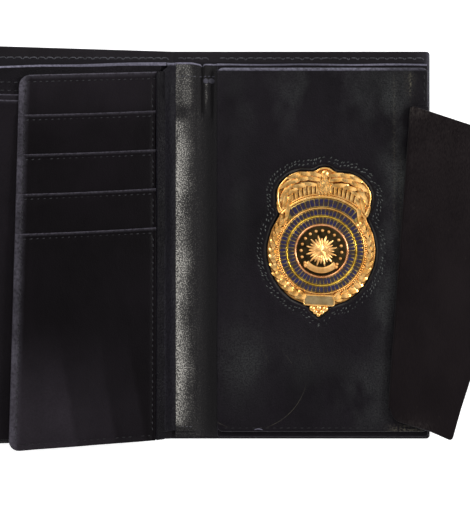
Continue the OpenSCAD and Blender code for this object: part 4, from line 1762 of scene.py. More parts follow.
    def medallion_face(self) -> None:
        """Models the medallion: dark dished ground, beads, sunburst, faceted star and scroll."""
        finishes = self.finishes
        radius = self.medallion.high.x - self.medallion.middle.x
        top = 0.4 * MM
        circle = [polar(radius, 90 - 360 * i / 64) for i in range(64)]
        ground = cut_leather(circle, self.ground, top, 0.25 * MM)
        nodes = ("badge_medallion",)
        self.fix(ground, "medallion_ground", finishes.shadow_gold, Slot.DARK_GOLD, *nodes, angle=50)
        arc = [polar(0.82 * radius, -38 + 256 * i / 14) for i in range(15)]
        beads = self.beads([(*spot, top + 0.15 * MM) for spot in arc], 0.75 * MM)
        rays = []
        for i in range(24):
            root = spin(15 * i) @ shift(0.1 * radius, 0, self.ground + top)
            rays.append(root @ stretch(1.0 if i % 2 else 0.78, 0.6, 0.8))
        burst = stamp(self.spindle(0.55 * radius, 2.3 * MM, 0.75 * MM, 0.0), rays)
        scroll = self.bent_plate(0.66 * radius, 0.9 * radius, -90, 50, top + 0.1 * MM, 0.4 * MM)
        curl = 0.62 * radius
        curls = self.beads([(side.value * curl, -curl, top + 0.2 * MM) for side in Side], 0.9 * MM)
        hub = self.hoop(0.3 * radius, 0.5 * MM, 1.0 * MM, 48)
        star = self.star(0.45 * radius, 0.19 * radius, top + 0.3 * MM, 0.75 * MM)
        emblem = gather([star, beads, burst, scroll, curls, hub])
        self.fix(emblem, "medallion_star_and_scroll", finishes.emblem_gold, Slot.GOLD, "badge_emblem")

    def star(self, tip: float, notch: float, low: float, rise: float) -> Piece:
        """Cuts a plain faceted star with five points.

        Args:
            tip: Radius of its points.
            notch: Radius between them.
            low: Height of its foot over the ground.
            rise: Height of its peak over its foot.

        Returns:
            The star.
        """
        thickness = 0.3 * MM
        outline = [polar(notch if i % 2 else tip, 90 - 36 * i) for i in range(10)]
        star = blank(outline, self.ground + low - thickness, thickness)
        open_mesh(star)
        bpy.ops.mesh.select_all(action="DESELECT")
        bpy.ops.mesh.select_mode(type="FACE")
        lay_down()
        for face in star.data.polygons:
            face.select = face.normal.z > 0.9
        take(star)
        bpy.ops.object.mode_set(mode="EDIT")
        bpy.ops.mesh.poke(offset=rise)
        lay_down()
        return star

    def number_plate(self) -> None:
        """Sets the bare number plate in its thin frame, over the finial at the foot."""
        half_w, half_h = 0.14 * self.width, 0.033 * self.height
        y = -(self.ring_shares[-1] * self.height + self.ring_w) - half_h
        corners = oblong((-half_w, y - half_h), (half_w, y + half_h))
        bar = cut_leather(rounded(corners, 0.6 * MM), self.ground, 0.55 * MM, 0.2 * MM)
        nodes = ("badge_number_plate",)
        self.fix(bar, "bare_number_plate", self.finishes.pale_gold, Slot.GOLD, *nodes, angle=50)
        edge = [Vector((*spot, self.ground + 0.5 * MM)) for spot in rounded(corners, 0.7 * MM)]
        parts = [smooth(tube(edge, 0.38 * MM, closed=True), 80)]
        for x, up, size in self.knobs:
            knob = smooth(begin(bpy.ops.mesh.primitive_ico_sphere_add, subdivisions=3, radius=size * MM), 80)
            knob.data.transform(shift(x * MM, up * MM, self.ground) @ stretch(1, 1, 0.62))
            parts.append(knob)
        self.fix(gather(parts), "foot_finial_and_frame", self.finishes.gold, Slot.GOLD)

    def build(self) -> None:
        """Builds the whole badge."""
        self.struck_plate()
        self.rim()
        self.wings()
        self.bird()
        self.wreath()
        self.rings()
        self.blocks()
        self.medallion_face()
        self.number_plate()


@dataclass
class BadgePanel:
    """The stiff leather panel of the badge, with its recess and its seams."""

    finishes: Finishes
    badge: Badge
    recess_gap: float = 1.2 * MM
    corner: float = 2.6 * MM
    roll: float = 0.6 * MM
    seam_offsets: Spot = (1.6 * MM, 3.1 * MM)
    lift: float = 0.5 * MM
    coarse: float = 4 * MM
    fine: float = 1.1 * MM
    around: float = 7 * MM
    streaks: tuple[tuple[float, float, float, float], ...] = (
        (88.6 * MM, 5 * MM, 76 * MM, 0.16), (91.5 * MM, -20 * MM, 40 * MM, 0.1),
        (95.6 * MM, 63 * MM, 77 * MM, 0.7),
    )
    # Painted sheen patches: middle across, middle up, width, height, share.
    patches: tuple[tuple[float, float, float, float, float], ...] = (
        (90 * MM, 30 * MM, 7 * MM, 45 * MM, 0.6), (77 * MM, -66 * MM, 14 * MM, 14 * MM, 0.42),
        (23 * MM, -50 * MM, 11 * MM, 17 * MM, 0.3), (56 * MM, 66 * MM, 36 * MM, 14 * MM, 0.36),
        (19 * MM, 25 * MM, 5 * MM, 40 * MM, 0.12), (48 * MM, -50 * MM, 12 * MM, 14 * MM, 0.14),
        (84 * MM, -30 * MM, 5 * MM, 22 * MM, 0.3),
    )
    fibres: tuple[float, float, float, float] = (94 * MM, 8 * MM, -78 * MM, -80.5 * MM)
    flake: Spot = (25.9 * MM, 6 * MM)
    panel: Span = boxed("badge_panel")

    def mesh_places(self, low: float, high: float, inner_low: float, inner_high: float) -> list[float]:
        """Places where the panel is cut to bend: far apart on plain leather, close together at the recess.

        Args:
            low: The panel's lower end.
            high: Its upper end.
            inner_low: The recess's lower end.
            inner_high: Its upper end.

        Returns:
            The places.
        """
        a, b = inner_low - self.around, inner_high + self.around
        plain = [p for p in spread(low, high, self.coarse, self.fine) if not a < p < b]
        return plain + spread(a, b, self.fine)

    def rubbed(self, co: Vector, n: Vector) -> float:
        """Pale along the turned edge, most along the top and round its left corner: partly rubbed leather,
        partly a painted highlight on the rounded edge.

        Args:
            co: A point of the panel.
            n: The normal there.

        Returns:
            How pale it is.
        """
        low, high, top = self.panel.low, self.panel.high, self.panel.high.y + self.lift
        if co.z < low.z + 1.2 * MM:
            return 0.0
        side = 0.25 * ease(high.x - 1.5 * MM, high.x, co.x)
        along_top = ease(top - 1.5 * MM, top - 0.8 * MM, co.y) * (0.4 + 0.9 * ease(90 * MM, 72 * MM, co.x))
        return along_top + ease(0.97, 0.6, n.z) * (side + 0.06)

    def streaked(self, co: Vector, n: Vector) -> float:
        """Fine upright scuffs beside the flap, and loose fibres under its lower corner.

        Args:
            co: A point of the panel.
            n: The normal there, which changes nothing.

        Returns:
            How scuffed it is.
        """
        x, wide, y0, y1 = self.fibres
        amount = 0.45 * hump(co.x, x, wide, 4) * ease(y0, y1, co.y)
        for x, y0, y1, share in self.streaks:
            along = ease(y0, y0 + 9 * MM, co.y) * ease(y1, y1 - 3 * MM, co.y)
            amount += share * along * hump(co.x, x, 0.6 * MM)
        return amount

    def painted_sheen_patches(self, co: Vector, n: Vector) -> float:
        """Painted sheen in soft patches, lighter grey where the panel's sheen is painted on."""
        patches = self.patches
        return sum(share * hump(co.x, x, wide) * hump(co.y, y, tall) for x, y, wide, tall, share in patches)

    def leather(self) -> None:
        """Cuts the panel, sinks the recess, rolls its rim and presses the leather down between the seams."""
        low, high = self.panel.low, self.panel.high + Vector((0, self.lift, 0))
        piece = cut_leather(rounded(oblong(low, high), self.corner), low.z, high.z - low.z, self.roll)
        rim = [self.badge.at @ Vector((*p, 0)) for p in self.badge.line(self.recess_gap)]
        cutter = blank([(p.x, p.y) for p in rim], low.z - 2 * MM, high.z - low.z + 4 * MM)
        press(piece, "BOOLEAN", object=cutter, operation="DIFFERENCE", solver="EXACT")
        bpy.data.objects.remove(cutter)
        bevel(piece, 0.55 * MM, 62)
        xs, ys = [p.x for p in rim], [p.y for p in rim]
        columns = self.mesh_places(low.x, high.x, min(xs), max(xs))
        for x, *_ in self.streaks:
            columns += beside(x, 0.7 * MM, 1)
        rows = self.mesh_places(low.y, high.y, min(ys), max(ys)) + [high.y - 1.5 * MM, high.y - 0.8 * MM]
        score(piece, sorted(columns), sorted(rows))
        tree = KDTree(len(rim))
        for i, point in enumerate(rim):
            tree.insert(point, i)
        tree.balance()

        def settle_down(co: Vector) -> Vector:
            """Gives the leather a pressed line round the recess and a slow swell over the panel.

            Args:
                co: A point of the piece.

            Returns:
                Where it comes to lie.
            """
            if co.z < high.z - self.roll:
                return co
            away = tree.find(Vector((co.x, co.y, 0)))[2]
            swell = 0.12 * MM * math.sin(co.x / (17 * MM) + 1) * math.sin(co.y / (23 * MM))
            pressed = 0.28 * MM * hump(away, 2.4 * MM, 1.5 * MM)
            return Vector((co.x, co.y, co.z - pressed - 0.1 * MM + swell))

        reshape(piece, settle_down)
        tint(piece, WEAR_AND_HIGHLIGHT, self.rubbed)
        tint(piece, SCUFF, self.streaked)
        # Painted sheen in soft patches over the panel.
        tint(piece, PAINTED_SHEEN, self.painted_sheen_patches)
        finish, body = self.finishes.panel, Body.BADGE_SIDE
        dress(piece, "badge_panel_leather", finish, Slot.LEATHER, body, "badge_panel", angle=50)

    def badge_seams(self) -> None:
        """Sews the two frayed seams round the recess."""
        dice = random.Random(31)
        thin = {"length": 1.2 * MM, "pitch": 1.15 * MM, "width": 0.5 * MM}
        seam = Seam(**thin, slant=30, missing=0.1, stray=0.4 * MM)
        places = []
        for offset in self.seam_offsets:
            line = self.badge.line(self.recess_gap + offset)
            walked = 0.0
            for a, b in zip(line, line[1:] + line[:1]):
                walked += (b - a).length
                if walked < seam.pitch:
                    continue
                walked = 0.0
                out = (b - a).normalized() * seam.pitch / 2
                places += seam.along(*(b - out), *(b + out), self.panel.high.z - 0.3 * MM, dice)
        piece = stamp(seam.stitch(), [self.badge.at @ place for place in places])
        dress(piece, "badge_seams", self.finishes.fuzz, Slot.THREAD, Body.BADGE_SIDE, "badge_thread")

    def edge_seams(self) -> None:
        """Sews the short seam at the upper right and the one along the foot."""
        low, high = self.panel.low, self.panel.high
        z = high.z - 0.08 * MM
        right, foot = high.x - 1.7 * MM, low.y + 1.7 * MM
        runs = [
            (right, 62.5 * MM, right, high.y - 2 * MM, z),
            (low.x + 2.4 * MM, foot, 86 * MM, foot, z - 0.16 * MM),
        ]
        piece = Seam().sew(runs, random.Random(32))
        dress(piece, "panel_seams", self.finishes.dark_thread, Slot.THREAD, Body.BADGE_SIDE, "panel_thread")

    def lifted_edge(self) -> None:
        """Curls up a small flake of the turned edge at the foot of the panel."""
        start, length = self.flake
        steps = 12
        line = []
        for i in range(steps + 1):
            rise = math.sin(math.pi * i / steps)
            y, z = self.panel.low.y + (0.3 + 1.0 * rise) * MM, self.panel.high.z - (0.5 - 0.35 * rise) * MM
            line.append(Vector((start + length * i / steps, y, z)))
        piece = tube(line, 0.24 * MM)
        # Painted pale, with the turned edges' highlight colour.
        tint(piece, WEAR_AND_HIGHLIGHT, lambda co, n: 0.45)
        dress(piece, "lifted_edge_flake", self.finishes.mouth, Slot.LEATHER, Body.BADGE_SIDE, angle=80)

    def build(self) -> None:
        """Builds the panel and its seams."""
        self.leather()
        self.badge_seams()
        self.edge_seams()
        self.lifted_edge()


@dataclass
class CardPage:
    """The hinged page: backing, four overlapping card pockets, grained band and seams."""

    finishes: Finishes
    width: float = 67.6 * MM
    top: float = 76.6 * MM
    foot: float = -85.0 * MM
    sag: float = 3.6 * MM
    flare: float = 4.6 * MM
    inset: float = 4.2 * MM
    band_w: float = 4.1 * MM
    corner: float = 4.4 * MM
    first_drop: float = 17.2 * MM
    pitch: float = 17.1 * MM
    pockets: int = 4
    back_z: float = 5.3 * MM
    front_z: float = 6.7 * MM
    layer: float = 0.7 * MM
    seam_in: float = 2.4 * MM
    head_seam_in: float = 3.1 * MM
    side_seams: Spot = (9.7 * MM, 64.9 * MM)
    # Painted fold shading at the page's foot: where each band starts across, and its share.
    folds: tuple[Spot, ...] = ((48 * MM, 0.45), (32 * MM, 0.3), (20 * MM, 0.25))
    hinge_z: float = 3.3 * MM
    hinge_thickness: float = 0.7 * MM

    @property
    def near(self) -> float:
        """How far from the fold the pockets begin, beside the band."""
        return self.inset + self.band_w

    @property
    def front_top(self) -> float:
        """Height of the front pocket's face."""
        return self.front_z + self.pockets * self.layer

    def hang(self, co: Vector) -> Vector:
        """Takes a point of the cut page, measured from the fold, to its place on the still flat page.

        Args:
            co: The point, with its distance from the fold as -X.

        Returns:
            The point on the flat page, which is buckled and slumped.
        """
        out = -co.x
        down = (self.top - co.y) / (self.top - self.foot)
        reach = out / self.width
        low = ease(-20 * MM, -75 * MM, co.y) * ease(0.25, 0.7, reach)
        buckle = 0.35 * MM * math.sin(out / (4.6 * MM) + co.y / (60 * MM)) * low
        soft = 0.25 * MM * math.sin(out / (11 * MM)) * math.sin(co.y / (19 * MM))
        curl = 0.5 * MM * ease(0.9, 1.0, reach) * ease(0.3, 0.0, down)
        x, y = FOLD_LEFT.x - out - self.flare * down * reach, co.y - self.sag * reach
        return Vector((x, y, co.z + buckle + soft - curl))

    def columns(self, near: float) -> list[float]:
        """Places across the page where a layer bends, with close ones at its seams.

        Args:
            near: How far from the fold the layer begins.

        Returns:
            The places in order.
        """
        found = spread(-self.width, -near, 1.6 * MM, 0.7 * MM)
        for seam in self.side_seams:
            found += beside(-seam, 0.45 * MM, 2)
        return sorted(found + [1.5 * MM - self.width, 2.2 * MM - self.width])

    def leather(
        self,
        radii: Sequence[float],
        near: float,
        top: float,
        bottom: float,
        thickness: float,
        roll: float,
        step: float,
        seams: Sequence[float],
        strength: float,
    ) -> Piece:
        """Cuts one layer of the page, pressed down along its seams and painted pale at its edges, partly for
        rub and partly as a highlight.

        Args:
            radii: The radii of its corners, from the lower left one on.
            near: How far from the fold it begins.
            top: Its upper end.
            bottom: Height of its underside.
            thickness: Its thickness.
            roll: Radius of its edges.
            step: The greatest distance between its rows.
            seams: The seams across it, the upper one first.
            strength: How pale its edges are painted.

        Returns:
            The layer, still flat.
        """
        rows = spread(self.foot, top, step, 0.7 * MM) + beside(seams[0], 0.5 * MM, 2)
        for seam in seams[1:]:
            rows += beside(seam, 0.5 * MM, 1)
        outline = rounded(oblong((-self.width, self.foot), (-near, top)), radii)
        piece = cut_leather(outline, bottom, thickness, roll, self.columns(near), sorted(rows))

        def pull_in(co: Vector) -> Vector:
            """Presses the upper side down along the seams.

            Args:
                co: A point of the piece.

            Returns:
                Where it comes to lie.
            """
            if co.z < bottom + thickness - 0.35 * MM:
                return co
            pressed = sum(hump(co.y, seam, 0.55 * MM) for seam in seams)
            pressed += sum(hump(-co.x, seam, 0.5 * MM) for seam in self.side_seams)
            return Vector((co.x, co.y, co.z - 0.26 * MM * min(1.0, pressed)))

        def edge_wear_and_highlight(co: Vector, n: Vector) -> float:
            """Pale along the upper edge, partly rubbed and partly a painted highlight, and more softly along
            the free edge, where a painted highlight stands for the light on its rounded edge.

            Args:
                co: A point of the piece.
                n: The normal there.

            Returns:
                How pale it is.
            """
            upper = ease(top - 1.1 * MM, top - 0.15 * MM, co.y) * (0.5 + 0.5 * ease(0.98, 0.7, n.z))
            uneven = 0.75 + 0.25 * math.sin(co.y / (9 * MM)) * math.sin(co.y / (3.7 * MM) + 1)
            free = 0.72 * uneven * ease(-self.width + 4.6 * MM, -self.width + 0.9 * MM, co.x)
            return strength * max(upper * ease(0.35, 0.9, n.z + abs(n.y)), free)

        reshape(piece, pull_in)
        tint(piece, WEAR_AND_HIGHLIGHT, edge_wear_and_highlight)
        # Painted sheen and painted fold shading of the page.
        tint(piece, PAINTED_SHEEN, self.painted_sheen)
        return piece

    def painted_sheen(self, co: Vector, n: Vector) -> float:
        """How much painted sheen the page gets: light bands at its foot that paint the shading of soft folds,
        and a little lighter towards its head.

        Args:
            co: A point of the page.
            n: The normal there, which changes nothing.

        Returns:
            A share from 0 to 1.
        """
        low = ease(-30 * MM, -72 * MM, co.y)
        lean = (co.y + 40 * MM) * 0.17
        folds = sum(
            share * ease(at + lean - 0.7 * MM, at + lean + 0.9 * MM, -co.x) for at, share in self.folds
        )
        return 0.75 * low * folds + 0.25 * ease(48 * MM, 74 * MM, co.y)

    def backing(self) -> None:
        """Cuts the page's back and stiffener as one turned-edge piece."""
        radii = [self.corner, 0, 0, self.corner]
        thickness, seam = self.front_z - self.back_z, self.top - self.head_seam_in
        piece = self.leather(
            radii, self.inset, self.top, self.back_z, thickness, 0.6 * MM, 6 * MM, [seam], 1.3
        )
        reshape(piece, self.hang)
        nodes = ("page_back", "page_core")
        dress(piece, "page_backing", self.finishes.page, Slot.LEATHER, Body.CARD_PAGE, *nodes, angle=50)

    def pocket_top(self, i: int) -> float:
        """Upper end of a pocket, counted from the top."""
        return self.top - self.first_drop - i * self.pitch

    def pocket(self, i: int) -> None:
        """Cuts one card pocket with its turned and sewn upper edge.

        Args:
            i: Its place from the top, from 0.
        """
        near, top = self.near, self.pocket_top(i)
        bottom, seams = self.front_z + i * self.layer, [top - self.seam_in, self.foot + self.seam_in]
        radii = [self.corner, 0, 0, 0]
        piece = self.leather(radii, near, top, bottom, self.layer, 0.28 * MM, 5 * MM, seams, 1.0)

        def belly(co: Vector) -> Vector:
            """Lets the mouth of the pocket stand a little open at its middle.

            Args:
                co: A point of the piece.

            Returns:
                Where it comes to lie.
            """
            across = math.sin(math.pi * min(1.0, max(0.0, (-co.x - near) / (self.width - near))))
            open_up = 0.35 * MM * across * ease(top - 9 * MM, top, co.y)
            return Vector((co.x, co.y - 0.25 * MM * across * ease(top - 3 * MM, top, co.y), co.z + open_up))

        reshape(reshape(piece, belly), self.hang)
        name, node = f"card_pocket_{i + 1}", f"card_slot_{i + 1}"
        dress(piece, name, self.finishes.page, Slot.LEATHER, Body.CARD_PAGE, node, angle=50)

    def band_top(self, x: float, y: float) -> float:
        """Height of the grained band at a place: it sinks towards the hinge and towards its top."""
        near = ease(FOLD_LEFT.x - self.near, FOLD_LEFT.x - self.inset, x)
        return self.front_top - 1.7 * MM * ease(20 * MM, 74 * MM, y) - 1.3 * MM * near

    def band(self) -> None:
        """Cuts the grained band beside the hinge."""
        far, near, low, high = self.near, self.inset, self.front_z, self.front_top
        outline = oblong((-far + 0.15 * MM, self.foot), (-near, self.top))
        columns, rows = spread(-far, -near, 1.0 * MM), spread(self.foot, self.top, 3 * MM, 0.8 * MM)
        piece = cut_leather(outline, low, high - low, 0.5 * MM, columns, rows)

        def slump(co: Vector) -> Vector:
            """Lets the band dip towards the top, where fewer layers lie beside it.

            Args:
                co: A point of the piece.

            Returns:
                Where it comes to lie.
            """
            dip = high - self.band_top(FOLD_LEFT.x + co.x, co.y)
            ripple = 0.1 * MM * math.sin(co.y / (2.9 * MM))
            return Vector((co.x, co.y, co.z - (dip - ripple) * (co.z - low) / (high - low)))

        reshape(piece, slump)
        # Sides painted a little pale, as a highlight on the band's edges.
        tint(piece, WEAR_AND_HIGHLIGHT, lambda co, n: 0.12 * ease(0.9, 0.4, abs(n.z)))
        reshape(piece, self.hang)
        finish, node = self.finishes.band, "page_hinge_band"
        dress(piece, "grained_hinge_band", finish, Slot.LEATHER, Body.CARD_PAGE, node, angle=50)

    def hinge(self) -> None:
        """Lays the soft leather that carries the page, from under the spine's strip to under the page."""
        x0, x1 = FOLD_LEFT.x - self.inset - 0.9 * MM, FOLD_LEFT.x + 1.7 * MM
        start, end = FOLD_LEFT.x + 1.5 * MM, FOLD_LEFT.x - self.inset
        low, thick, head = self.hinge_z, self.hinge_thickness, self.top + 4 * MM
        rows = spread(self.foot, self.top - 2 * MM, 3 * MM, 0.8 * MM)
        rows += spread(self.top - 1 * MM, head, 0.5 * MM)
        outline = oblong((x0, self.foot + 3 * MM), (x1, head))
        piece = cut_leather(outline, low, thick, 0.25 * MM, spread(x0, x1, 0.4 * MM), rows)

        def climb(co: Vector) -> Vector:
            """Carries the leather up from the strip to the band of the page.

            Args:
                co: A point of the piece.

            Returns:
                Where it comes to lie.
            """
            body = ease(self.top + 2 * MM, self.top, co.y)
            rise = max(0.0, (start - co.x) / (start - end)) ** 1.2 * body
            across = x1 + (co.x - x1) * (0.67 + 0.33 * body)
            top = self.band_top(end, co.y) - 0.25 * MM
            soft = 0.18 * MM * math.sin(co.y / (5.3 * MM) + 1) * math.sin(math.pi * min(1.0, rise))
            place = Vector((across, co.y, co.z + (top - low - thick) * min(1.06, rise) + soft))
            return raised(place, ease(start, end, across))

        def bend(hinge: Piece) -> None:
            """Bakes the leather's transform into its mesh."""
            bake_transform(hinge)

        reshape(piece, climb)
        # Painted light: a faint even brightening that lifts the shade on the leather's slope, and a pale top
        # edge painted as the turned edge's highlight.
        tint(piece, WEAR_AND_HIGHLIGHT, lambda co, n: max(0.05, ease(head - 1.5 * MM, head - 0.7 * MM, co.y)))
        dress(piece, "page_hinge_leather", self.finishes.band, Slot.LEATHER, bend, angle=50)

    def seams(self) -> None:
        """Sews every seam of the page."""
        dice = random.Random(41)
        seam = Seam(length=1.35 * MM, pitch=2.6 * MM, width=0.5 * MM, height=0.26 * MM, missing=0.03)
        near, far = self.side_seams
        row, z = self.top - self.head_seam_in, self.front_z - 0.1 * MM
        runs = [(-far, row, -self.inset - 0.8 * MM, row, z)]
        last = self.top - 5 * MM
        for i in range(self.pockets):
            top, z = self.pocket_top(i), self.front_z + (i + 1) * self.layer - 0.12 * MM
            row = top - self.seam_in
            runs.append((-far, row, -near, row, z))
            runs += [(-x, last, -x, top + 0.6 * MM, z - self.layer) for x in (near, far)]
            last = row - 1.5 * MM
        foot = self.foot + self.seam_in
        runs += [(-x, last, -x, foot + 1.5 * MM, z) for x in (near, far)]
        piece = reshape(seam.sew(runs, dice), self.hang)
        finishes = self.finishes
        dress(piece, "page_seams", finishes.fine_thread, Slot.THREAD, Body.CARD_PAGE, "page_thread")
        piece = reshape(seam.sew([(-far, foot, -near, foot, z)], dice), self.hang)
        dress(piece, "page_foot_seam", finishes.dark_thread, Slot.THREAD, Body.CARD_PAGE)

    def build(self) -> None:
        """Builds the page."""
        self.backing()
        for i in range(self.pockets):
            self.pocket(i)
        self.band()
        self.hinge()
        self.seams()


@dataclass
class LeftPockets:
    """The two pockets of the left half and their seams."""

    finishes: Finishes
    edge: float = 105.1 * MM
    rise: float = 2.0 * MM
    half_height: float = 86.0 * MM
    inner: float = 14.8 * MM
    drop: float = 21.0 * MM
    step: float = 2.6 * MM
    bottom: float = 3.4 * MM
    layer: float = 0.8 * MM
    corner: float = 1.2 * MM

    @property
    def mouth(self) -> float:
        """Upper end of the rear pocket."""
        return self.half_height - self.drop

    def pocket(self, name: str, i: int) -> None:
        """Cuts one pocket.

        Args:
            name: What it is called, rear or front.
            i: How many pockets lie behind it.
        """
        top = self.mouth - i * self.step
        low, high = (self.rise - self.edge, self.rise - self.half_height), (-self.inner, top)
        columns, rows = (spread(a, b, 6 * MM, 0.8 * MM) for a, b in zip(low, high))
        if i:
            rows += beside(top - 2.4 * MM, 0.5 * MM, 1)
        outline = rounded(oblong(low, high), self.corner)
        bottom = self.bottom + i * self.layer
        piece = cut_leather(outline, bottom, self.layer, 0.32 * MM, columns, sorted(rows))
        edge = (top - 1.0 * MM, top - 0.1 * MM)
        # Upper edge painted pale where it faces up: rubbed leather and painted highlight.
        tint(piece, WEAR_AND_HIGHLIGHT, lambda co, n: 0.8 * ease(*edge, co.y) * ease(-0.2, 0.5, n.z))
        # An even share of painted sheen over the whole pocket.
        tint(piece, PAINTED_SHEEN, lambda co, n: 0.2)
        finish, node = self.finishes.page, f"left_pocket_{name}"
        dress(piece, f"{name}_pocket_leather", finish, Slot.LEATHER, Body.LEFT_COVER, node, angle=50)

    def seams(self) -> None:
        """Sews the two rows over the pockets and the row down the free edge."""
        x0, x1 = 4.8 * MM - self.edge, -self.inner - 2.4 * MM
        z = self.bottom - 0.05 * MM
        rows = [(x0, self.mouth + y, x1, self.mouth + y, z) for y in (5.2 * MM, 1.6 * MM)]
        low, high = self.rise - self.half_height + 3 * MM, self.mouth - self.step - 3 * MM
        runs = [*rows, (x0, low, x0, high, z + 2 * self.layer)]
        piece = Seam().sew(runs, random.Random(51))
        finish = self.finishes.fine_thread
        dress(piece, "left_pocket_seams", finish, Slot.THREAD, Body.LEFT_COVER, "left_thread")

    def build(self) -> None:
        """Builds both pockets and their seams."""
        self.pocket("rear", 0)
        self.pocket("front", 1)
        self.seams()


@dataclass
class Flap:
    """The badge flap: leather with suede inside, its folded root and the roll along its crease."""

    finishes: Finishes
    edge: float = 105.1 * MM
    crease_top: Spot = (-9.0 * MM, 60.8 * MM)
    corners: tuple[Spot, ...] = (
        (-0.3 * MM, 58.2 * MM), (49 * MM, 42 * MM), (12.3 * MM, -72.3 * MM), (8.5 * MM, -86 * MM),
        (-0.7 * MM, -81.9 * MM),
    )
    radii: tuple[float, ...] = (1 * MM, 6 * MM, 2 * MM, 1.5 * MM, 2 * MM)
    gap: float = 0.3 * MM
    foot_radius: float = 6 * MM
    roll_radius: float = 0.85 * MM
    base: Span = boxed("flap_base")
    leaf: Span = boxed("flap_leather")
    nap: Span = boxed("flap_suede")

    @property
    def crease(self) -> tuple[Vector, Vector]:
        """The upper and lower ends of the crease."""
        top = Vector((self.edge + self.crease_top[0], self.crease_top[1]))
        return top, Vector(joint("flap_fold")["pos_m"]).xy

    def outline(self, trim: float) -> list[Spot]:
        """Draws the flap's outline.

        Args:
            trim: How far it is drawn in at its free edges.

        Returns:
            The outline's points.
        """
        top, foot = self.crease
        up = (top - foot).normalized()
        out = Vector((up.y, -up.x)) * self.gap
        middle = Vector((self.edge, 0))
        free = [Vector((self.edge + x, y)) for x, y in self.corners]
        free = [p + (middle - p).normalized() * trim for p in free]
        return rounded([foot + out, top + out, *free], [self.foot_radius, 0.5 * MM, *self.radii])

    def droop(self, co: Vector) -> Vector:
        """Lets the free part of the flap sag and swell as soft leather does.

        Args:
            co: A point of the flap.

        Returns:
            Where the point comes to lie.
        """
        sag = 0.4 * MM * ease(0, 50 * MM, max(0.0, co.x - self.edge))
        swell = 0.15 * MM * math.sin(co.y / (14 * MM)) * ease(0, 12 * MM, co.x - 92 * MM)
        return Vector((co.x, co.y, co.z - sag + swell))

    def wear_and_highlight(self, co: Vector, n: Vector) -> float:
        """How pale the flap is painted: its cut edges, partly rubbed and partly a painted highlight, the
        rubbed strip beside the crease at its foot and its head, and a faint lightening towards the top.

        Args:
            co: A point of the flap.
            n: The normal there.

        Returns:
            A share from 0 to 1.
        """
        edge = 0.1 * ease(0.95, 0.5, abs(n.z))
        foot = 0.12 * ease(-75 * MM, -80 * MM, co.y) * ease(self.edge + 3 * MM, self.edge - 6 * MM, co.x)
        head = 0.16 * ease(54 * MM, 60 * MM, co.y) * ease(self.edge + 1 * MM, self.edge - 4 * MM, co.x)
        return edge + foot + head + 0.035 * ease(-20 * MM, 60 * MM, co.y)

    def layer(self, name: str, node: str, span: Span, trim: float, finish: Material, slot: Slot) -> None:
        """Cuts one layer of the flap.

        Args:
            name: Its name.
            node: The frame's node that it replaces.
            span: The box that gives its heights.
            trim: How far its free edges are drawn in.
            finish: Its material.
            slot: The record's slot of its finish.
        """
        outline = self.outline(trim)
        columns, rows = (spread(min(places), max(places), 3 * MM) for places in zip(*outline))
        piece = cut_leather(outline, span.low.z, span.high.z - span.low.z, 0.25 * MM, columns, rows)
        tint(piece, WEAR_AND_HIGHLIGHT, self.wear_and_highlight)
        reshape(piece, self.droop)
        dress(piece, name, finish, slot, Body.FLAP, node, angle=50)

    def root(self) -> None:
        """Cuts the folded strip that carries the flap."""
        top, foot = self.crease
        right, low, high = self.base.high.x, self.base.low.z, self.base.high.z
        outline = rounded([foot, (right, foot.y), (right, top.y), top], [self.foot_radius, 0, 0, 0])
        columns, rows = spread(top.x - 9 * MM, right, 3 * MM), spread(foot.y, top.y, 5 * MM)
        piece = cut_leather(outline, low, high - low, 0.5 * MM, columns, rows)
        dress(piece, "flap_root", self.finishes.panel, Slot.LEATHER, Body.BADGE_SIDE, "flap_base", angle=50)

    def roll(self) -> None:
        """Rolls the leather round the crease, from the root up to the leaf."""
        top, foot = self.crease
        axis_z = joint("flap_fold")["pos_m"][2]
        steps = 40
        line = [foot.lerp(top, 0.034 + 0.962 * i / steps) for i in range(steps + 1)]
        piece = tube([Vector((p.x + 0.1 * MM, p.y, 0)) for p in line], self.roll_radius, sides=4)
        tall = (self.nap.high.z - self.base.low.z - 1.1 * MM) / 2
        piece.data.transform(stretch(1, 1, tall / self.roll_radius))
        piece.data.transform(shift(0, 0, self.nap.high.z - tall - 0.05 * MM))
        tint(piece, WEAR_AND_HIGHLIGHT, lambda co, n: 0.25 * ease(50 * MM, 60 * MM, co.y))

        def bend(crease: Piece) -> None:
            """Bakes the roll's transform into its mesh."""
            ends = (0, 0, axis_z - self.gap), (0, 0, axis_z + self.gap)
            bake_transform(crease)

        dress(piece, "flap_crease_roll", self.finishes.suede, Slot.SUEDE, bend, angle=60)

    def build(self) -> None:
        """Builds the flap."""
        panel, suede = self.finishes.panel, self.finishes.suede
        self.root()
        self.layer("flap_outer_leather", "flap_leather", self.leaf, 0.0, panel, Slot.LEATHER)
        self.layer("flap_suede_lining", "flap_suede", self.nap, 0.25 * MM, suede, Slot.SUEDE)
        self.roll()


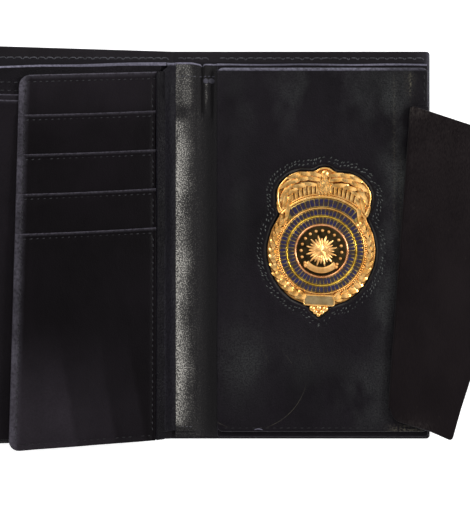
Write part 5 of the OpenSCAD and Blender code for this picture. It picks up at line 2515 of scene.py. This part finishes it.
@dataclass
class Studio:
    """The floor, the light and the camera."""

    eye: Triple = (18.6 * MM, -4.2 * MM, 607 * MM)
    lens: float = 96.45
    sensor: float = 36.0
    floor_w: float = 12.0
    floor_white: Colour = (0.88, 0.88, 0.88)
    floor_glow: float = 0.55
    clutter: tuple[float, float, float, float] = (0.42, 0.58, 0.3, 1.5)
    low_sky: Colour = (1, 1, 1)
    high_sky: Colour = (0.85, 0.85, 0.86)
    bright_to: float = 0.75
    ceiling: Colour = (0.72, 0.72, 0.73)

    def hang(self, name: str, data: bpy.types.Camera | bpy.types.Light, place: Sequence[float]) -> Piece:
        """Hangs a camera or a lamp in the studio.

        Args:
            name: Its name.
            data: The camera or the lamp.
            place: Where it hangs.

        Returns:
            Its object.
        """
        thing = bpy.data.objects.new(name, data)
        thing.location = place
        bpy.context.scene.collection.objects.link(thing)
        return thing

    def camera(self) -> None:
        """Sets the camera straight above the wallet."""
        data = bpy.data.cameras.new("above")
        data.lens = self.lens
        data.sensor_width = self.sensor
        data.clip_start = 10 * MM
        bpy.context.scene.camera = self.hang("above", data, self.eye)

    def floor(self) -> None:
        """Lays the plain white floor under the wallet."""
        floor = begin(bpy.ops.mesh.primitive_plane_add, size=self.floor_w)
        floor.name = "floor"
        floor.data.transform(shift(0, 0, -0.05 * MM))
        material = bpy.data.materials.new("white_floor")
        recipe = Recipe(material)
        rays = ("Is Camera Ray", "Is Glossy Ray", "Is Transmission Ray")
        straight, mirrored, through = (recipe.node("LightPath", {}, ray) for ray in rays)
        seen = straight.joined("MAXIMUM", mirrored).joined("MAXIMUM", through)
        recipe.feed(
            Base_Color=self.floor_white,
            Roughness=0.9,
            Specular_IOR_Level=0.1,
            Emission_Color=(1, 1, 1),
            Emission_Strength=seen * self.floor_glow,
        )
        floor.data.materials.append(material)

    def sky(self) -> None:
        """Lights the room: a bright ring of soft boxes round a darker ceiling."""
        world = bpy.data.worlds.new("room")
        recipe = Recipe(world, "Background")
        where = recipe.node("TexCoord", {}, "Generated")
        colour = recipe.node("ValToRGB", {"Fac": recipe.along("Z", where)})
        ramp = colour.socket.node.color_ramp.elements
        ramp[0].color = (*self.low_sky, 1)
        ramp[1].color = (*self.ceiling, 1)
        ramp.new(self.bright_to).color = (*self.high_sky, 1)
        boxes = recipe.node("TexNoise", {"Vector": where, "Scale": 2.6, "Detail": 1.0})
        recipe.feed(Color=colour, Strength=boxes.span(*self.clutter))
        bpy.context.scene.world = world

    def lamp(self, name: str, place: Triple, size: float, power: float) -> None:
        """Hangs a square soft box, aimed at the wallet.

        Args:
            name: Its name.
            place: Where it hangs.
            size: Its width.
            power: Its power in watts.
        """
        data = bpy.data.lights.new(name, "AREA")
        data.size = size
        data.energy = power
        lamp = self.hang(name, data, place)
        lamp.rotation_euler = (-lamp.location).to_track_quat("-Z", "Y").to_euler()

    def build(self) -> None:
        """Sets up the whole studio."""
        self.camera()
        self.floor()
        self.sky()
        self.lamp("window", (-0.35, 0.5, 0.6), 0.45, 3.2)
        self.lamp("reflector", (0.55, 0.12, 0.45), 0.22, 2.6)
        bpy.context.scene.view_settings.view_transform = "Standard"


def dress_nodes(finishes: Finishes) -> None:
    """Gives every node that stays in sight its finish.

    Args:
        finishes: The finishes of the wallet.
    """
    by_name = {
        "board": finishes.board,
        "pin": finishes.steel,
        "welt": finishes.cover,
        "lining": finishes.cloth,
        "suede": finishes.suede,
        "thread": finishes.thread,
        "plate": finishes.gold,
        "enamel": finishes.enamel,
        "badge_panel": finishes.panel,
        "badge": finishes.gold,
        "slot": finishes.page,
        "page": finishes.page,
    }
    for name, node in frame["nodes"].items():
        finish = next((finish for key, finish in by_name.items() if key in name), finishes.panel)
        node.data.materials.clear()
        node.data.materials.append(finish)


def main() -> None:
    """Builds the wallet's looks in order."""
    logging.basicConfig(level=logging.INFO, format="%(message)s")
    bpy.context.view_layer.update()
    finishes = Finishes()
    Studio().build()
    dress_nodes(finishes)
    Outer(finishes).build()
    BillCompartment(finishes).build()
    Spine(finishes).build()
    badge = Badge(finishes)
    badge.build()
    BadgePanel(finishes, badge).build()
    CardPage(finishes).build()
    LeftPockets(finishes).build()
    Flap(finishes).build()


if __name__ == "__main__":
    main()
